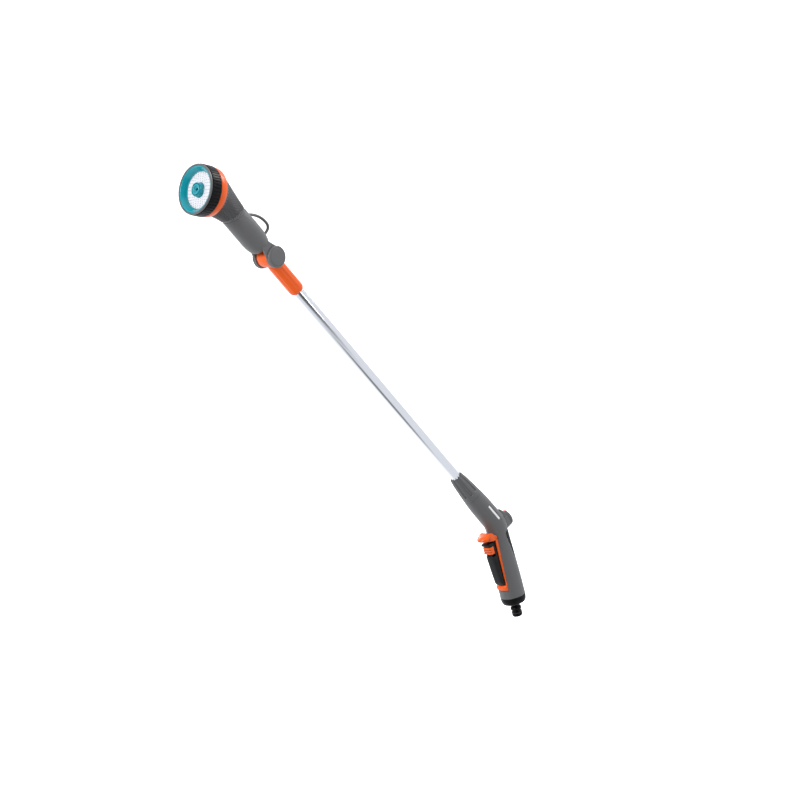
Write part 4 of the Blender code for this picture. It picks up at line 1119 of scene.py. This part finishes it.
base = spun([(17.4, -47.5), (19.5, -47.5), (19.8, -48.0), (19.75, -51.0), (19.3, -54.2),
             (18.5, -57.0), (17.4, -58.8), (15.8, -59.8), (7.9, -59.8), (7.2, -59.2),
             (7.2, -57.4), (15.6, -57.4), (17.2, -54.0)], 128)
settle(soften(base, 0.15, sharp=40, segments=2), "base_cap", GRIP_AXIS, satin_black, "wand",
       "black_plastic", "bottom_cap")

# Connector nipple -----------------------------------------------------------------
# Standard hose connector nipple: a turned waist and collar that the coupling latches
# behind, and a ring groove for its seal.

TIP = -82.0
nipple = spun([(5.1, -44.6), (12.0, -44.6), (12.0, -46.6), (9.4, -48), (9.4, -56.6),
               (9.0, -57.0), (6.8, -57.2), (6.8, -65.4), (7.2, -66.0), (8.2, -66.7),
               (8.5, -67.4), (8.5, -70.0), (8.2, -70.6), (7.4, -71.4), (7.4, -73.5),
               (7.9, -73.8), (8.1, -74.1), (8.1, -75.2), (6.7, -75.2), (6.7, -77.4),
               (8.1, -77.4), (8.1, -79.2), (7.8, -80.6), (7.0, TIP), (4.6, TIP), (4.6, -47),
               (5.1, -46.6)], 96)
settle(soften(nipple, 0.1, sharp=45, segments=2), "connector_nipple", GRIP_AXIS, satin_black,
       "wand", "black_plastic", "hose_nipple")
seal_rubber = moulded("seal_rubber", (0.012, 0.012, 0.012), 0.55, grain=0.006, polish=0.0)
oring = spun([(7.5 + 0.8 * math.cos(a), -76.3 + 0.8 * math.sin(a))
              for a in (-math.tau * i / 16 for i in range(16))], 96)
settle(oring, "connector_oring", GRIP_AXIS, seal_rubber, "wand", "seal_rubber", "nipple_oring")

# Case screws ----------------------------------------------------------------------
# Five self-tapping steel screws, sunk in wells in the right half, with six-sided sockets.

UNDER_HEAD = -7.3
steel = Finish("plated_steel", Metallic=1.0)
steel_blot = steel.noise(0.003, 3)
steel.feed("Base Color", steel.mix(steel_blot, (0.48, 0.48, 0.50, 1), (0.66, 0.66, 0.68, 1)))
steel.feed("Roughness", 0.26 + steel_blot * 0.16)
steel.bump(steel.noise(0.0004, 2), 0.006 * MM)
for number, (axis, x, z) in enumerate(SCREWS, 1):
    screw = cross_spun([(0, 8.8), (1.0, 8.6), (1.4, 7.4), (1.4, UNDER_HEAD), (2.8, UNDER_HEAD),
                        (2.8, UNDER_HEAD - 1.2), (2.2, UNDER_HEAD - 1.8), (0, UNDER_HEAD - 1.9)],
                       axis, x, z)
    socket_tool = cross_spun([(0, UNDER_HEAD - 0.7), (1.35, UNDER_HEAD - 0.7),
                              (1.35, UNDER_HEAD - 4), (0, UNDER_HEAD - 4)], axis, x, z, 6)
    settle(soften(carved(screw, socket_tool), 0.08, sharp=50, segments=1),
           "case_screw_%d" % number, GRIP_AXIS, steel.material, "wand", "steel",
           "shell_screw_%d" % number)

# Inner pieces ---------------------------------------------------------------------
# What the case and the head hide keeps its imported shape: unpigmented mouldings for the
# water way, black rubber seals and small steel parts.

natural = moulded("unpigmented", (0.55, 0.55, 0.52), 0.42, grain=0.01, drift=0.04)
INNER = {
    natural: ("pattern_disc", "port_plate", "water_duct", "tilt_detent_wheel", "pivot_spool",
              "tube_clamp_ring", "valve_body", "valve_plug", "valve_stem", "inlet_pipe",
              "outlet_pipe", "regulator_spindle"),
    seal_rubber: ("head_seal", "spool_seal_near", "spool_seal_far", "tube_end_seal",
                  "tube_base_seal", "valve_washer", "regulator_seal"),
    steel.material: ("hub_screw", "detent_leaf", "trigger_pin", "valve_spring"),
}
for material, nodes in INNER.items():
    for node in nodes:
        data = frame["nodes"][node].data
        data.materials.clear()
        data.materials.append(material)
